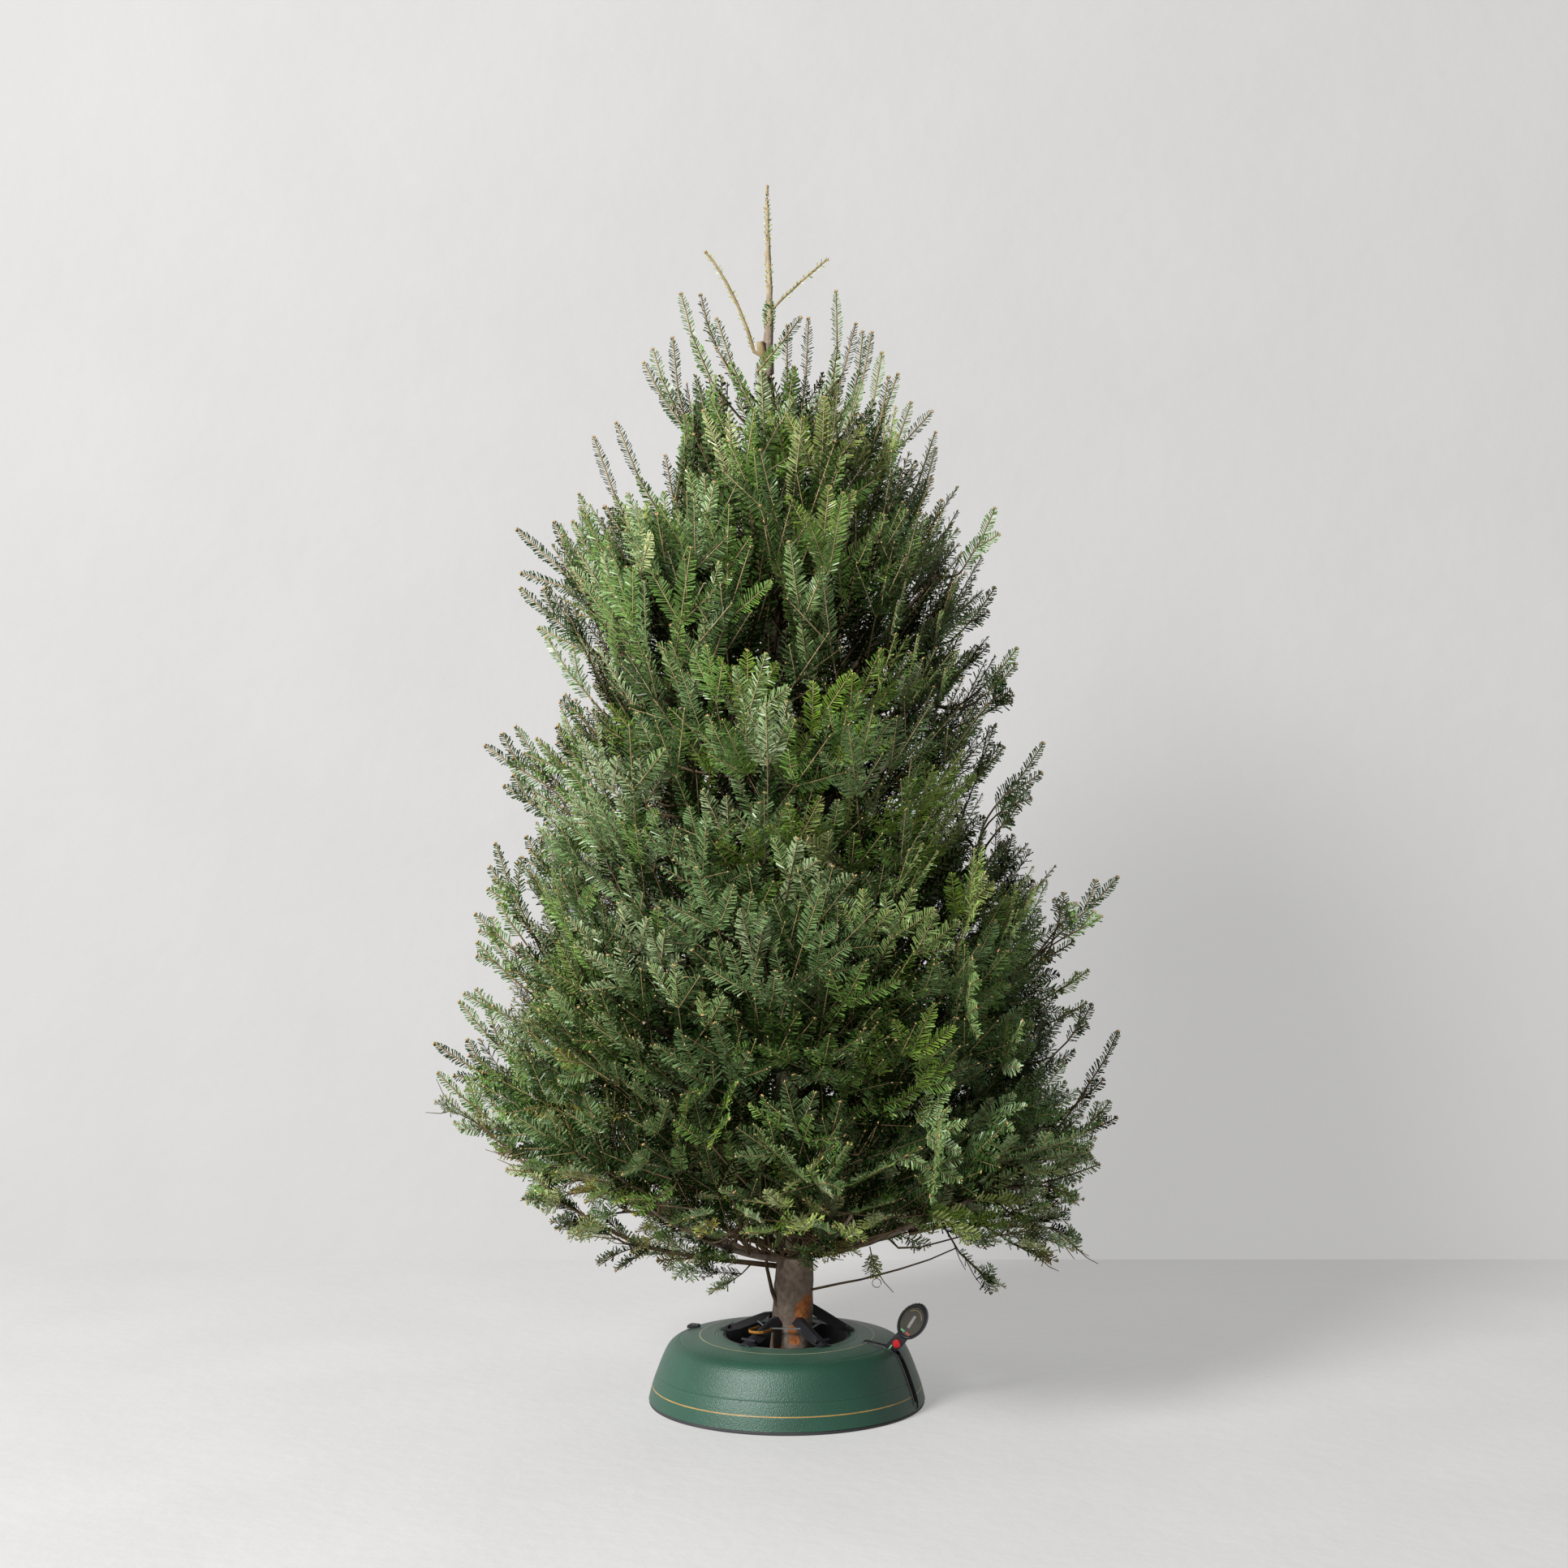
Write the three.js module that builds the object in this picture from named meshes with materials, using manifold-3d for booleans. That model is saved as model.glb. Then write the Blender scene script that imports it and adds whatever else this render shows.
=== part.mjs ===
// A cut fir of about two metres in a round green stand with a foot lever.
// Millimetres, +Z up. The origin is the centre of the stand's flat underside.

import * as THREE from "three";
import { mergeVertices } from "three/addons/utils/BufferGeometryUtils.js";
import Module from "manifold-3d";

// Driving dimensions of the stand

const STAND_SIDES = 30;
const BASE_RADIUS = 235;
const BASE_HEIGHT = 6;
const GAP = 0.3;
const ABOVE_BASE = BASE_HEIGHT + GAP;
const SHELL_RADIUS = 235.5;
const SHELL_WALL = 4;
const SHELL_TOP = 113;
const WELL_RADIUS = 108.5;
const TANK_WALL = 3;
const TANK_FLOOR = 9.4;
const TANK_FOOT_RADIUS = 98;
const CLAW_COUNT = 5;
const CLAW_FIRST_AZIMUTH = 16;
const CLAW_WIDTH = 26;
const CABLE_HEIGHT = 133;
const CABLE_RING_RADIUS = 62;
const CABLE_RADIUS = 1.5;
const LEVER_AZIMUTH = -22;
const LEVER_RISE = 57;
const LEVER_THICKNESS = 8;
const PADDLE_LENGTH = 65;
const PADDLE_WIDTH = 42;
const SLOT_WIDTH = 16;
const SLOT_INNER_RADIUS = 140;
const SLOT_FOOT_HEIGHT = 14;
const SLOT_CLEAR_RADIUS = 250;
const SLOT_CLEAR_HEIGHT = 130;
const OVAL_POINTS = 20;
const CATCH_AZIMUTH = 155;

// Driving dimensions of the tree

const TREE_HEIGHT = 2075;
const TRUNK_SIDES = 12;
const BOUGH_SIDES = 6;
const BOUGH_RINGS = 4;
const SEED = 20;

// The trunk, from its flat cut in the stand to the bare leader's tip: height, sideways lean, radius.
const TRUNK = [
  [ABOVE_BASE + TANK_FLOOR + GAP, 4, 40],
  [60, 6, 37.5],
  [110, 8, 35.5],
  [163, 10, 34],
  [250, 14, 31],
  [450, 11, 28.5],
  [750, 2, 25],
  [1050, -9, 21],
  [1400, -22, 16.5],
  [1738, -34, 12],
  [1795, -33, 9.5],
  [1840, -30, 7],
  [1863, -29, 5.5],
  [1960, -32, 4.5],
  [2045, -34, 3.4],
  [TREE_HEIGHT, -34, 2],
];

// How far the foliage reaches from the trunk's axis, by height, on the right and on the left.
const CROWN_RIGHT = [
  [190, 210],
  [208, 324],
  [245, 364],
  [270, 476],
  [374, 497],
  [471, 564],
  [668, 513],
  [825, 530],
  [890, 570],
  [963, 395],
  [1118, 446],
  [1278, 404],
  [1515, 376],
  [1636, 287],
  [1754, 225],
  [1830, 176],
  [1899, 115],
  [1945, 98],
  [1985, 60],
];
const CROWN_LEFT = [
  [190, 90],
  [201, 118],
  [245, 262],
  [312, 386],
  [388, 493],
  [464, 578],
  [545, 638],
  [665, 562],
  [825, 520],
  [1050, 468],
  [1119, 500],
  [1206, 357],
  [1324, 406],
  [1383, 430],
  [1480, 427],
  [1548, 326],
  [1641, 295],
  [1773, 213],
  [1826, 166],
  [1885, 152],
  [1959, 106],
  [1985, 60],
];

// The surfaces between the tiers of foliage: the height at the trunk's axis and the rise per millimetre
// outwards.
const TIER_FLOORS = [
  [192, 0],
  [420, 0.31],
  [620, 0.42],
  [840, 0.62],
  [1060, 0.82],
  [1280, 0.78],
  [1480, 1.16],
  [1985, 0],
];

// Each tier's masses: how many there are, the first one's azimuth, the sprays across and up each mass, and
// the height and rise at which the stem or bough leaves the trunk.
const TIERS = [
  { name: "skirt", masses: 6, turn: -15, across: 4, up: 2, root: 232, rise: 0.3, bough: 215 },
  { name: "lower", masses: 5, turn: -54, across: 5, up: 2, root: 455, rise: 0.5, bough: 200 },
  { name: "middle", masses: 4, turn: 12, across: 5, up: 2, root: 655, rise: 0.65, bough: 165 },
  { name: "waist", masses: 4, turn: -33, across: 5, up: 2, root: 880, rise: 0.85, inner: true },
  { name: "upper", masses: 3, turn: -10, across: 5, up: 2, root: 1100, rise: 1.0, inner: true },
  { name: "shoulder", masses: 3, turn: 50, across: 5, up: 2, root: 1325, rise: 1.2 },
  { name: "top", masses: 3, turn: -10, across: 4, up: 2, root: 1535, rise: 1.8 },
];

// The leader's two thin side shoots: azimuth and height where they leave the trunk, the place they bow out to
// as a distance and a height, the tip, and the radius at the root.
const SIDE_SHOOTS = [
  { name: "shoot_left", azimuth: 180, root: 1778, bow: [44, 1846], tip: [-138, 0, 1959], radius: 3.4 },
  { name: "shoot_right", azimuth: -8, root: 1858, bow: [42, 1898], tip: [67, -8, 1945], radius: 2.6 },
];
const SIDE_SHOOT_TIP_RADIUS = 1.8;
const SIDE_SHOOT_SIDES = 5;

const SPACE_MARGIN = 3;
const LIMB_MARGIN = 4;
const LIMB_STEPS = 12;
const BOUGH_RADIUS = 9;
const BOUGH_SAG = 0.36;
const STEM_RADIUS = 8;
const STEM_TIP_RADIUS = 6.5;
const STEM_RINGS = 2;
const STEM_END = { across: 0.5, up: 0.55, depth: 0.72 };
const ROOT_RANGE = 22;
const STEM_BUDS = 14;
const FIRST_BUD = 0.12;
const LAST_BUD = 0.97;
// A tip grows from the free bud with the shortest way to it, where a way along the stem counts as shorter.
const SIDEWAYS_COST = 1.9;
const LEAST_AHEAD = 0.1;
// Where the sprays end: shares of a mass's width and height, and of the crown's reach.
const SPRAY_ACROSS = [0.07, 0.93];
const SPRAY_UP = [0.12, 0.9];
const SPRAY_DEPTH = 0.97;
const DEPTH_RANGE = 0.05;
const ROW_SHIFT = 0.12;
const ACROSS_JITTER = 0.3;
const UP_JITTER = 0.35;
const INNER_SPRAY = { across: [0.3, 0.7], up: 0.7, depth: 0.66 };
const SPRAY_LENGTH = 185;
const SHORTEST_STALK = 24;
const SPRAY_WIDTH = 0.38;
const SPRAY_MOST_WIDTH = 70;
const SPRAY_HEIGHT = 4.5;
const SPRAY_NECK = 14;
const SPRAY_FREE = 18;
const SHORTEST_SPRAY = 80;
const LONG_SPRAY = 290;
const SPRAY_ROLL = 1.1;
const SPRAY_NARROWING = [1, 0.8, 0.6];
const SPRAY_ROOT_WIDTH = 0.62;
const NOTCH_WIDTH = 0.34;
const TOOTH_PLACE = 0.82;

// Materials

const finish = (color, roughness, metalness = 0) => ({ color, roughness, metalness });
const BARK = finish(0x6b5a4c, 0.9);
const YOUNG_BARK = finish(0xa98550, 0.85);
const NEEDLES = finish(0x2f5a2a, 0.75);
const BLUE_NEEDLES = finish(0x47684c, 0.75);
const OLIVE_NEEDLES = finish(0x4a5a22, 0.8);
const GREEN_SHELL = finish(0x2f5a48, 0.5);
const BLACK_PLASTIC = finish(0x1c1c20, 0.45);
const BASE_PLASTIC = finish(0x3c3a3c, 0.7);
const STEEL = finish(0xb8babd, 0.35, 0.9);
const RED_PLASTIC = finish(0xc8202a, 0.4);

// Numbers and places

const wasm = await Module();
wasm.setup();
const tree = new THREE.Group();
const V = (x, y, z) => new THREE.Vector3(x, y, z);
const UP = V(0, 0, 1);
const radians = THREE.MathUtils.degToRad;
const mix = THREE.MathUtils.lerp;

function seeded(seed) {
  let state = seed;
  return () => {
    state = (state + 0x6d2b79f5) | 0;
    let t = Math.imul(state ^ (state >>> 15), 1 | state);
    t = (t + Math.imul(t ^ (t >>> 7), 61 | t)) ^ t;
    return ((t ^ (t >>> 14)) >>> 0) / 4294967296;
  };
}

// The value of a table's column at a height, held at the first and last rows beyond them.
function along(table, height, column = 1) {
  const after = table.findIndex((row) => row[0] >= height);
  if (after === 0) return table[0][column];
  if (after < 0) return table[table.length - 1][column];
  const [low, high] = [table[after - 1], table[after]];
  return mix(low[column], high[column], (height - low[0]) / (high[0] - low[0]));
}

const axisAt = (height) => along(TRUNK, height, 1);
const trunkRadius = (height) => along(TRUNK, height, 2);

// A place given by its azimuth about the trunk, its distance from the trunk's axis and its height.
function around(azimuth, radius, height) {
  return V(axisAt(height) + radius * Math.cos(azimuth), radius * Math.sin(azimuth), height);
}

// Solids

function solidOf(geometry) {
  geometry.deleteAttribute("normal");
  geometry.deleteAttribute("uv");
  const merged = mergeVertices(geometry, 1e-4);
  const vertProperties = merged.attributes.position.array;
  const corners = merged.index.array;
  const kept = [];
  for (let i = 0; i < corners.length; i += 3) {
    const [a, b, c] = corners.slice(i, i + 3);
    if (a !== b && b !== c && c !== a) kept.push(a, b, c);
  }
  const triVerts = new Uint32Array(kept);
  return new wasm.Manifold(new wasm.Mesh({ numProp: 3, vertProperties, triVerts }));
}

function geometryOf(solid) {
  const made = solid.getMesh();
  const places = new Float32Array(made.numVert * 3);
  for (let i = 0; i < made.numVert; i++) {
    places.set(made.vertProperties.subarray(i * made.numProp, i * made.numProp + 3), i * 3);
  }
  const geometry = new THREE.BufferGeometry();
  geometry.setAttribute("position", new THREE.BufferAttribute(places, 3));
  geometry.setIndex(new THREE.BufferAttribute(new Uint32Array(made.triVerts), 1));
  geometry.computeVertexNormals();
  return geometry;
}

// The largest body of a solid, without the scraps that a cut leaves.
function largest(solid) {
  const bodies = solid.decompose();
  return bodies.reduce((best, body) => (body.volume() > best.volume() ? body : best));
}

function addNode(name, solid, look) {
  const mesh = new THREE.Mesh(geometryOf(solid), new THREE.MeshStandardMaterial(look));
  mesh.name = name;
  tree.add(mesh);
}

// Limbs

// A round tapering limb along a path. CylinderGeometry stands along Y, so its X, Y and Z become the path's
// normal, tangent and their cross product.
function limb(path, radiusAt, sides, rings) {
  const geometry = new THREE.CylinderGeometry(1, 1, 1, sides, rings);
  const place = geometry.attributes.position;
  const frames = path.computeFrenetFrames(rings, false);
  for (let i = 0; i < place.count; i++) {
    const t = place.getY(i) + 0.5;
    const ring = Math.round(t * rings);
    const radius = radiusAt(t);
    const spot = path.getPointAt(THREE.MathUtils.clamp(t, 0, 1));
    spot.addScaledVector(frames.normals[ring], place.getX(i) * radius);
    spot.addScaledVector(frames.binormals[ring], -place.getZ(i) * radius);
    place.setXYZ(i, spot.x, spot.y, spot.z);
  }
  return solidOf(geometry);
}

// The trunk has level rings, so that the cut under it is flat.
function trunkSolid(extra = 0) {
  const rings = TRUNK.length - 1;
  const geometry = new THREE.CylinderGeometry(1, 1, 1, TRUNK_SIDES, rings);
  geometry.rotateX(Math.PI / 2);
  const place = geometry.attributes.position;
  for (let i = 0; i < place.count; i++) {
    const [height, lean, radius] = TRUNK[Math.round((place.getZ(i) + 0.5) * rings)];
    const wide = radius + extra;
    place.setXYZ(i, lean + place.getX(i) * wide, place.getY(i) * wide, height);
  }
  return solidOf(geometry);
}

const trunk = trunkSolid();
const trunkClearance = trunkSolid(GAP);
addNode("trunk", trunk, BARK);

// Limbs that the foliage keeps clear of: points along each one with its radius there.
const limbs = [];

function rememberLimb(path, radiusAt) {
  const points = [];
  for (let i = 0; i <= LIMB_STEPS; i++) {
    points.push({ place: path.getPointAt(i / LIMB_STEPS), radius: radiusAt(i / LIMB_STEPS) });
  }
  limbs.push(points);
}

function touchesLimb(place) {
  const sideways = Math.hypot(place.x - axisAt(place.z), place.y);
  if (sideways < trunkRadius(place.z) + LIMB_MARGIN) return true;
  return limbs.some((points) =>
    points.some((p) => p.place.distanceTo(place) < p.radius + 2 * LIMB_MARGIN)
  );
}

// Two thin shoots beside the bare leader

for (const { name, azimuth, root, bow, tip, radius } of SIDE_SHOOTS) {
  const start = around(radians(azimuth), 0, root);
  const middle = around(radians(azimuth), ...bow);
  const path = new THREE.CatmullRomCurve3([start, middle, V(...tip)]);
  const radiusAt = (t) => mix(radius, SIDE_SHOOT_TIP_RADIUS, t);
  rememberLimb(path, radiusAt);
  const shoot = limb(path, radiusAt, SIDE_SHOOT_SIDES, SIDE_SHOOT_SIDES).subtract(trunkClearance);
  addNode(name, largest(shoot), YOUNG_BARK);
}

// Crown spaces

const floorAt = (tier, radius) => TIER_FLOORS[tier][0] + TIER_FLOORS[tier][1] * radius;
const floorLean = (tier) => Math.cos(Math.atan(TIER_FLOORS[tier][1]));

function reach(height, azimuth) {
  const right = along(CROWN_RIGHT, height);
  const left = along(CROWN_LEFT, height);
  return mix(left, right, (1 + Math.cos(azimuth)) / 2);
}

const turnBetween = (a, b) => Math.atan2(Math.sin(a - b), Math.cos(a - b));

// Each mass keeps between two upright planes through the trunk's axis and the floors of its tier.
function insideSpace(space, place, margin) {
  const sideways = place.x - axisAt(place.z);
  const radius = Math.hypot(sideways, place.y);
  const azimuth = Math.atan2(place.y, sideways);
  const left = space.half - Math.abs(turnBetween(azimuth, space.middle));
  if (left <= 0 || radius * Math.sin(Math.min(left, Math.PI / 2)) < margin) return false;
  if ((place.z - floorAt(space.tier, radius)) * floorLean(space.tier) < margin) return false;
  if ((floorAt(space.tier + 1, radius) - place.z) * floorLean(space.tier + 1) < margin) return false;
  return radius < reach(place.z, azimuth) + 2 * margin;
}

// The place at a share of the way across and up a mass's outer face, drawn in to a share of the crown's
// reach.
function crownPlace(space, across, up, depth) {
  const azimuth = space.middle + space.half * (2 * across - 1);
  for (let radius = 700; radius > 0; radius -= 4) {
    const height = mix(floorAt(space.tier, radius), floorAt(space.tier + 1, radius), up);
    if (radius <= depth * reach(height, azimuth)) return around(azimuth, radius, height);
  }
  return around(azimuth, 0, floorAt(space.tier, 0));
}

// Sprays of needles

// A toothed blade along X from a pointed root, flat underneath and ridged along its middle. The outline runs
// from the root by the right side to the tip and back by the left, so that a point and its mirror add up to
// the count.
function sprayGeometry(length, stalk, width, teeth) {
  const cell = (length - stalk) / teeth;
  const swell = (share) => Math.sin(Math.PI * Math.min(1, share * 1.1 + 0.15));
  const half = (share) => (width / 2) * (SPRAY_ROOT_WIDTH + (1 - SPRAY_ROOT_WIDTH) * swell(share));
  const side = [[0, 0]];
  const ridge = [SPRAY_NECK];
  for (let k = 0; k < teeth; k++) {
    const start = stalk + k * cell;
    if (k > 0) {
      side.push([start, half(k / teeth) * NOTCH_WIDTH]);
      ridge.push(start);
    }
    side.push([start + TOOTH_PLACE * cell, half((k + 0.5) / teeth)]);
  }
  const tip = side.length;
  const count = 2 * tip;
  const right = side.map(([x, y]) => V(x, -y, 0));
  const left = side.slice(1).map(([x, y]) => V(x, y, 0)).reverse();
  const outline = [...right, V(length, 0, 0), ...left];
  const faces = THREE.ShapeUtils.triangulateShape(outline, []).map(([a, b, c]) => [a, c, b]);
  const bothSides = (a, b, c) => {
    const mirror = (i) => (i >= count || i === 0 ? i : count - i);
    faces.push([a, b, c], [mirror(a), mirror(c), mirror(b)]);
  };
  for (let k = 0; k < teeth; k++) {
    const [valley, tooth, top] = [2 * k, 2 * k + 1, count + k];
    bothSides(top, valley, tooth);
    if (k < teeth - 1) {
      bothSides(top, tooth, top + 1);
      bothSides(top + 1, tooth, tooth + 1);
    } else {
      bothSides(top, tooth, tip);
    }
  }
  const geometry = new THREE.BufferGeometry();
  geometry.setFromPoints([...outline, ...ridge.map((x) => V(x, 0, SPRAY_HEIGHT))]);
  geometry.setIndex(faces.flat());
  return geometry;
}

// A frame with X along the spray and Z on its upper side, rolled by an angle.
function sprayFrame(start, direction, roll) {
  const side = V(0, 0, 1).cross(direction).normalize();
  const top = direction.clone().cross(side).normalize();
  const frame = new THREE.Matrix4().makeBasis(direction, side, top);
  frame.multiply(new THREE.Matrix4().makeRotationX(roll));
  return frame.setPosition(start);
}

// A spray from a twig to its tip, or null where it would leave the space or touch a limb.
function growSpray(space, start, tip, roll) {
  const direction = tip.clone().sub(start).normalize();
  const length = start.distanceTo(tip);
  const stalk = Math.max(SHORTEST_STALK, length - SPRAY_LENGTH);
  const teeth = length > LONG_SPRAY ? 4 : 3;
  for (const narrow of SPRAY_NARROWING) {
    const width = Math.min(SPRAY_WIDTH * length, SPRAY_MOST_WIDTH) * narrow;
    const geometry = sprayGeometry(length, stalk, width, teeth);
    geometry.applyMatrix4(sprayFrame(start, direction, roll));
    const place = geometry.attributes.position;
    let fits = true;
    for (let i = 0; i < place.count && fits; i++) {
      const spot = V(0, 0, 0).fromBufferAttribute(place, i);
      if (spot.distanceTo(start) < SPRAY_FREE) continue;
      fits = insideSpace(space, spot, SPACE_MARGIN) && !touchesLimb(spot);
    }
    if (fits) return solidOf(geometry);
  }
  return null;
}

// Masses

// Shares across and up a mass's outer face, jittered, the middle ones first.
function sprayPlan(space, random) {
  const plan = [];
  const { across, up, inner } = TIERS[space.tier];
  for (let row = 0; row < up; row++) {
    for (let column = 0; column < across; column++) {
      const shift = row % 2 === 0 ? -ROW_SHIFT : ROW_SHIFT;
      const a = (column + 0.5 + shift + ACROSS_JITTER * (random() - 0.5)) / across;
      const u = (row + 0.5 + UP_JITTER * (random() - 0.5)) / up;
      const depth = SPRAY_DEPTH - DEPTH_RANGE * random();
      plan.push({ across: mix(...SPRAY_ACROSS, a), up: mix(...SPRAY_UP, u), depth });
    }
  }
  if (inner) plan.push({ ...INNER_SPRAY, across: mix(...INNER_SPRAY.across, random()) });
  return plan;
}

// The outline's furthest tips that lie in this space.
function outlineTips(space) {
  const tips = [];
  for (const [table, azimuth] of [[CROWN_RIGHT, 0], [CROWN_LEFT, Math.PI]]) {
    table.forEach(([height, far], i) => {
      const before = i > 0 ? table[i - 1][1] : 0;
      const after = i < table.length - 1 ? table[i + 1][1] : 0;
      const tip = around(azimuth, far - 4, height);
      if (far > before && far > after && insideSpace(space, tip, 2 * SPACE_MARGIN)) tips.push(tip);
    });
  }
  return tips;
}

function growMass(space, start, heading, random) {
  const end = crownPlace(space, STEM_END.across, STEM_END.up, STEM_END.depth);
  const bend = start.clone().addScaledVector(heading, start.distanceTo(end) * 0.5);
  const stem = new THREE.QuadraticBezierCurve3(start, bend, end);
  const radiusAt = (t) => mix(STEM_RADIUS, STEM_TIP_RADIUS, t);
  let mass = limb(stem, radiusAt, 3, STEM_RINGS);
  const buds = [];
  for (let i = 0; i <= STEM_BUDS; i++) {
    const t = mix(FIRST_BUD, LAST_BUD, i / STEM_BUDS);
    buds.push({ place: stem.getPoint(t), heading: stem.getTangent(t) });
  }
  const tips = outlineTips(space);
  for (const { across, up, depth } of sprayPlan(space, random)) {
    tips.push(crownPlace(space, across, up, depth));
  }
  tips.sort((a, b) => a.distanceTo(end) - b.distanceTo(end));
  for (const tip of tips) {
    const roll = SPRAY_ROLL * (2 * random() - 1);
    const cost = (bud) => {
      const away = tip.clone().sub(bud.place);
      const distance = away.length();
      const ahead = away.dot(bud.heading) / distance;
      if (bud.used || distance < SHORTEST_SPRAY || ahead < LEAST_AHEAD) return Infinity;
      return distance * (SIDEWAYS_COST - ahead);
    };
    const root = buds.reduce((best, bud) => (cost(bud) < cost(best) ? bud : best));
    if (cost(root) === Infinity) continue;
    const spray = growSpray(space, root.place, tip, roll);
    if (!spray) continue;
    root.used = true;
    mass = mass.add(spray);
  }
  return largest(mass);
}

// Boughs and masses, tier by tier

TIERS.forEach((tier, index) => {
  const half = Math.PI / tier.masses;
  for (let i = 0; i < tier.masses; i++) {
    const random = seeded(SEED + 100 * index + i);
    const middle = radians(tier.turn) + 2 * half * i;
    const space = { tier: index, middle, half };
    const root = tier.root + ROOT_RANGE * random();
    const outwards = V(Math.cos(middle), Math.sin(middle), 0);
    const heading = outwards.clone().addScaledVector(UP, tier.rise).normalize();
    const origin = around(middle, 0, root);
    if (tier.bough) {
      const tip = around(middle, tier.bough, root + tier.rise * tier.bough);
      const sag = around(middle, tier.bough * 0.5, root + tier.rise * tier.bough * BOUGH_SAG);
      const path = new THREE.CatmullRomCurve3([origin, sag, tip]);
      const radiusAt = (t) => mix(BOUGH_RADIUS, STEM_RADIUS, t);
      rememberLimb(path, radiusAt);
      const bough = limb(path, radiusAt, BOUGH_SIDES, BOUGH_RINGS).subtract(trunkClearance);
      addNode(`bough_${tier.name}_${i + 1}`, largest(bough), BARK);
      const ahead = path.getTangent(1);
      const start = tip.clone().addScaledVector(ahead, GAP);
      const mass = growMass(space, start, ahead, random);
      addNode(`foliage_${tier.name}_${i + 1}`, mass, lookOf(index, middle));
    } else {
      const mass = growMass(space, origin, heading, random).subtract(trunkClearance);
      addNode(`foliage_${tier.name}_${i + 1}`, largest(mass), lookOf(index, middle));
    }
  }
});

function lookOf(tier, azimuth) {
  if (tier === 0) return OLIVE_NEEDLES;
  return tier < 4 && Math.cos(azimuth) < -0.3 ? BLUE_NEEDLES : NEEDLES;
}

// The stand's turned parts

function turned(profile, segments) {
  const points = profile.map(([radius, height]) => new THREE.Vector2(radius, height));
  points.push(points[0].clone());
  const geometry = new THREE.LatheGeometry(points, segments);
  geometry.rotateX(Math.PI / 2);
  return solidOf(geometry);
}

// Turns a solid's geometry, drawn in the radial plane with X outwards and Y up, to an azimuth.
function standUpright(geometry, azimuth) {
  geometry.rotateX(Math.PI / 2);
  geometry.rotateZ(radians(azimuth));
  return solidOf(geometry);
}

function plateGeometry(outline, thickness, bevel = 0) {
  const shape = new THREE.Shape(outline.map(([x, y]) => new THREE.Vector2(x, y)));
  const depth = thickness - 2 * bevel;
  const settings = { depth, bevelEnabled: bevel > 0, bevelSegments: 1 };
  Object.assign(settings, { bevelThickness: bevel, bevelSize: bevel, bevelOffset: -bevel });
  const geometry = new THREE.ExtrudeGeometry(shape, settings);
  geometry.translate(0, 0, -depth / 2);
  return geometry;
}

const plate = (outline, thickness, azimuth, bevel) =>
  standUpright(plateGeometry(outline, thickness, bevel), azimuth);

// The stand: base plate, green shell, water tank

const standBase = turned(
  [
    [0, 0],
    [BASE_RADIUS - 2, 0],
    [BASE_RADIUS, 2],
    [BASE_RADIUS, BASE_HEIGHT],
    [0, BASE_HEIGHT],
  ],
  STAND_SIDES
);
addNode("stand_base", standBase, BASE_PLASTIC);

const SHELL_OUTSIDE = [
  [SHELL_RADIUS, ABOVE_BASE],
  [229.7, 29],
  [222, 51],
  [212.5, 75],
  [204, 92],
  [195, 101],
  [182, 106],
  [148.5, SHELL_TOP - 1],
  [121.5, SHELL_TOP],
  [WELL_RADIUS, SHELL_TOP - 1],
];
const SHELL_INSIDE = [
  [WELL_RADIUS, SHELL_TOP - 7],
  [WELL_RADIUS + SHELL_WALL, SHELL_TOP - 5],
  [180, 101.8],
  [198, 91],
  [218, 50],
  [SHELL_RADIUS - SHELL_WALL, ABOVE_BASE],
];

const slotOutline = [
  [SLOT_INNER_RADIUS, 60],
  [SLOT_INNER_RADIUS, SLOT_CLEAR_HEIGHT],
  [SLOT_CLEAR_RADIUS, SLOT_CLEAR_HEIGHT],
  [SLOT_CLEAR_RADIUS, SLOT_FOOT_HEIGHT],
  [190, SLOT_FOOT_HEIGHT],
];
const shell = turned([...SHELL_OUTSIDE, ...SHELL_INSIDE], STAND_SIDES);
const slot = plate(slotOutline, SLOT_WIDTH, LEVER_AZIMUTH);
addNode("stand_shell", largest(shell.subtract(slot)), GREEN_SHELL);

const tankFloor = ABOVE_BASE + TANK_FLOOR;
const tank = turned(
  [
    [0, ABOVE_BASE],
    [TANK_FOOT_RADIUS, ABOVE_BASE],
    [WELL_RADIUS - 1, SHELL_TOP - 1],
    [WELL_RADIUS - 1 - TANK_WALL, SHELL_TOP - 1],
    [TANK_FOOT_RADIUS - TANK_WALL, tankFloor],
    [0, tankFloor],
  ],
  STAND_SIDES
);
addNode("water_tank", tank, BLACK_PLASTIC);

// The clamp: five claws whose points bear on the trunk, and the cable that runs round through them

const CLAW_UNDERSIDE = [
  [118, SHELL_TOP + GAP],
  [94, SHELL_TOP + GAP],
  [68, 116],
  [44, 134],
  [28, 150],
];
const CLAW_RIDGE = [
  [28, 168],
  [42, 165],
  [66, 150],
  [92, 133],
  [118, 117],
];
const CLAW_RIDGE_SHARE = 0.35;

// A claw is a roof: wide along its underside and narrow along its ridge.
function clawSolid(azimuth) {
  const geometry = plateGeometry([...CLAW_UNDERSIDE, ...CLAW_RIDGE], CLAW_WIDTH);
  const place = geometry.attributes.position;
  for (let i = 0; i < place.count; i++) {
    const onRidge = CLAW_RIDGE.some(([x, y]) => Math.hypot(x - place.getX(i), y - place.getY(i)) < 0.01);
    if (onRidge) place.setZ(i, place.getZ(i) * CLAW_RIDGE_SHARE);
  }
  return standUpright(geometry, azimuth);
}

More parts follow.
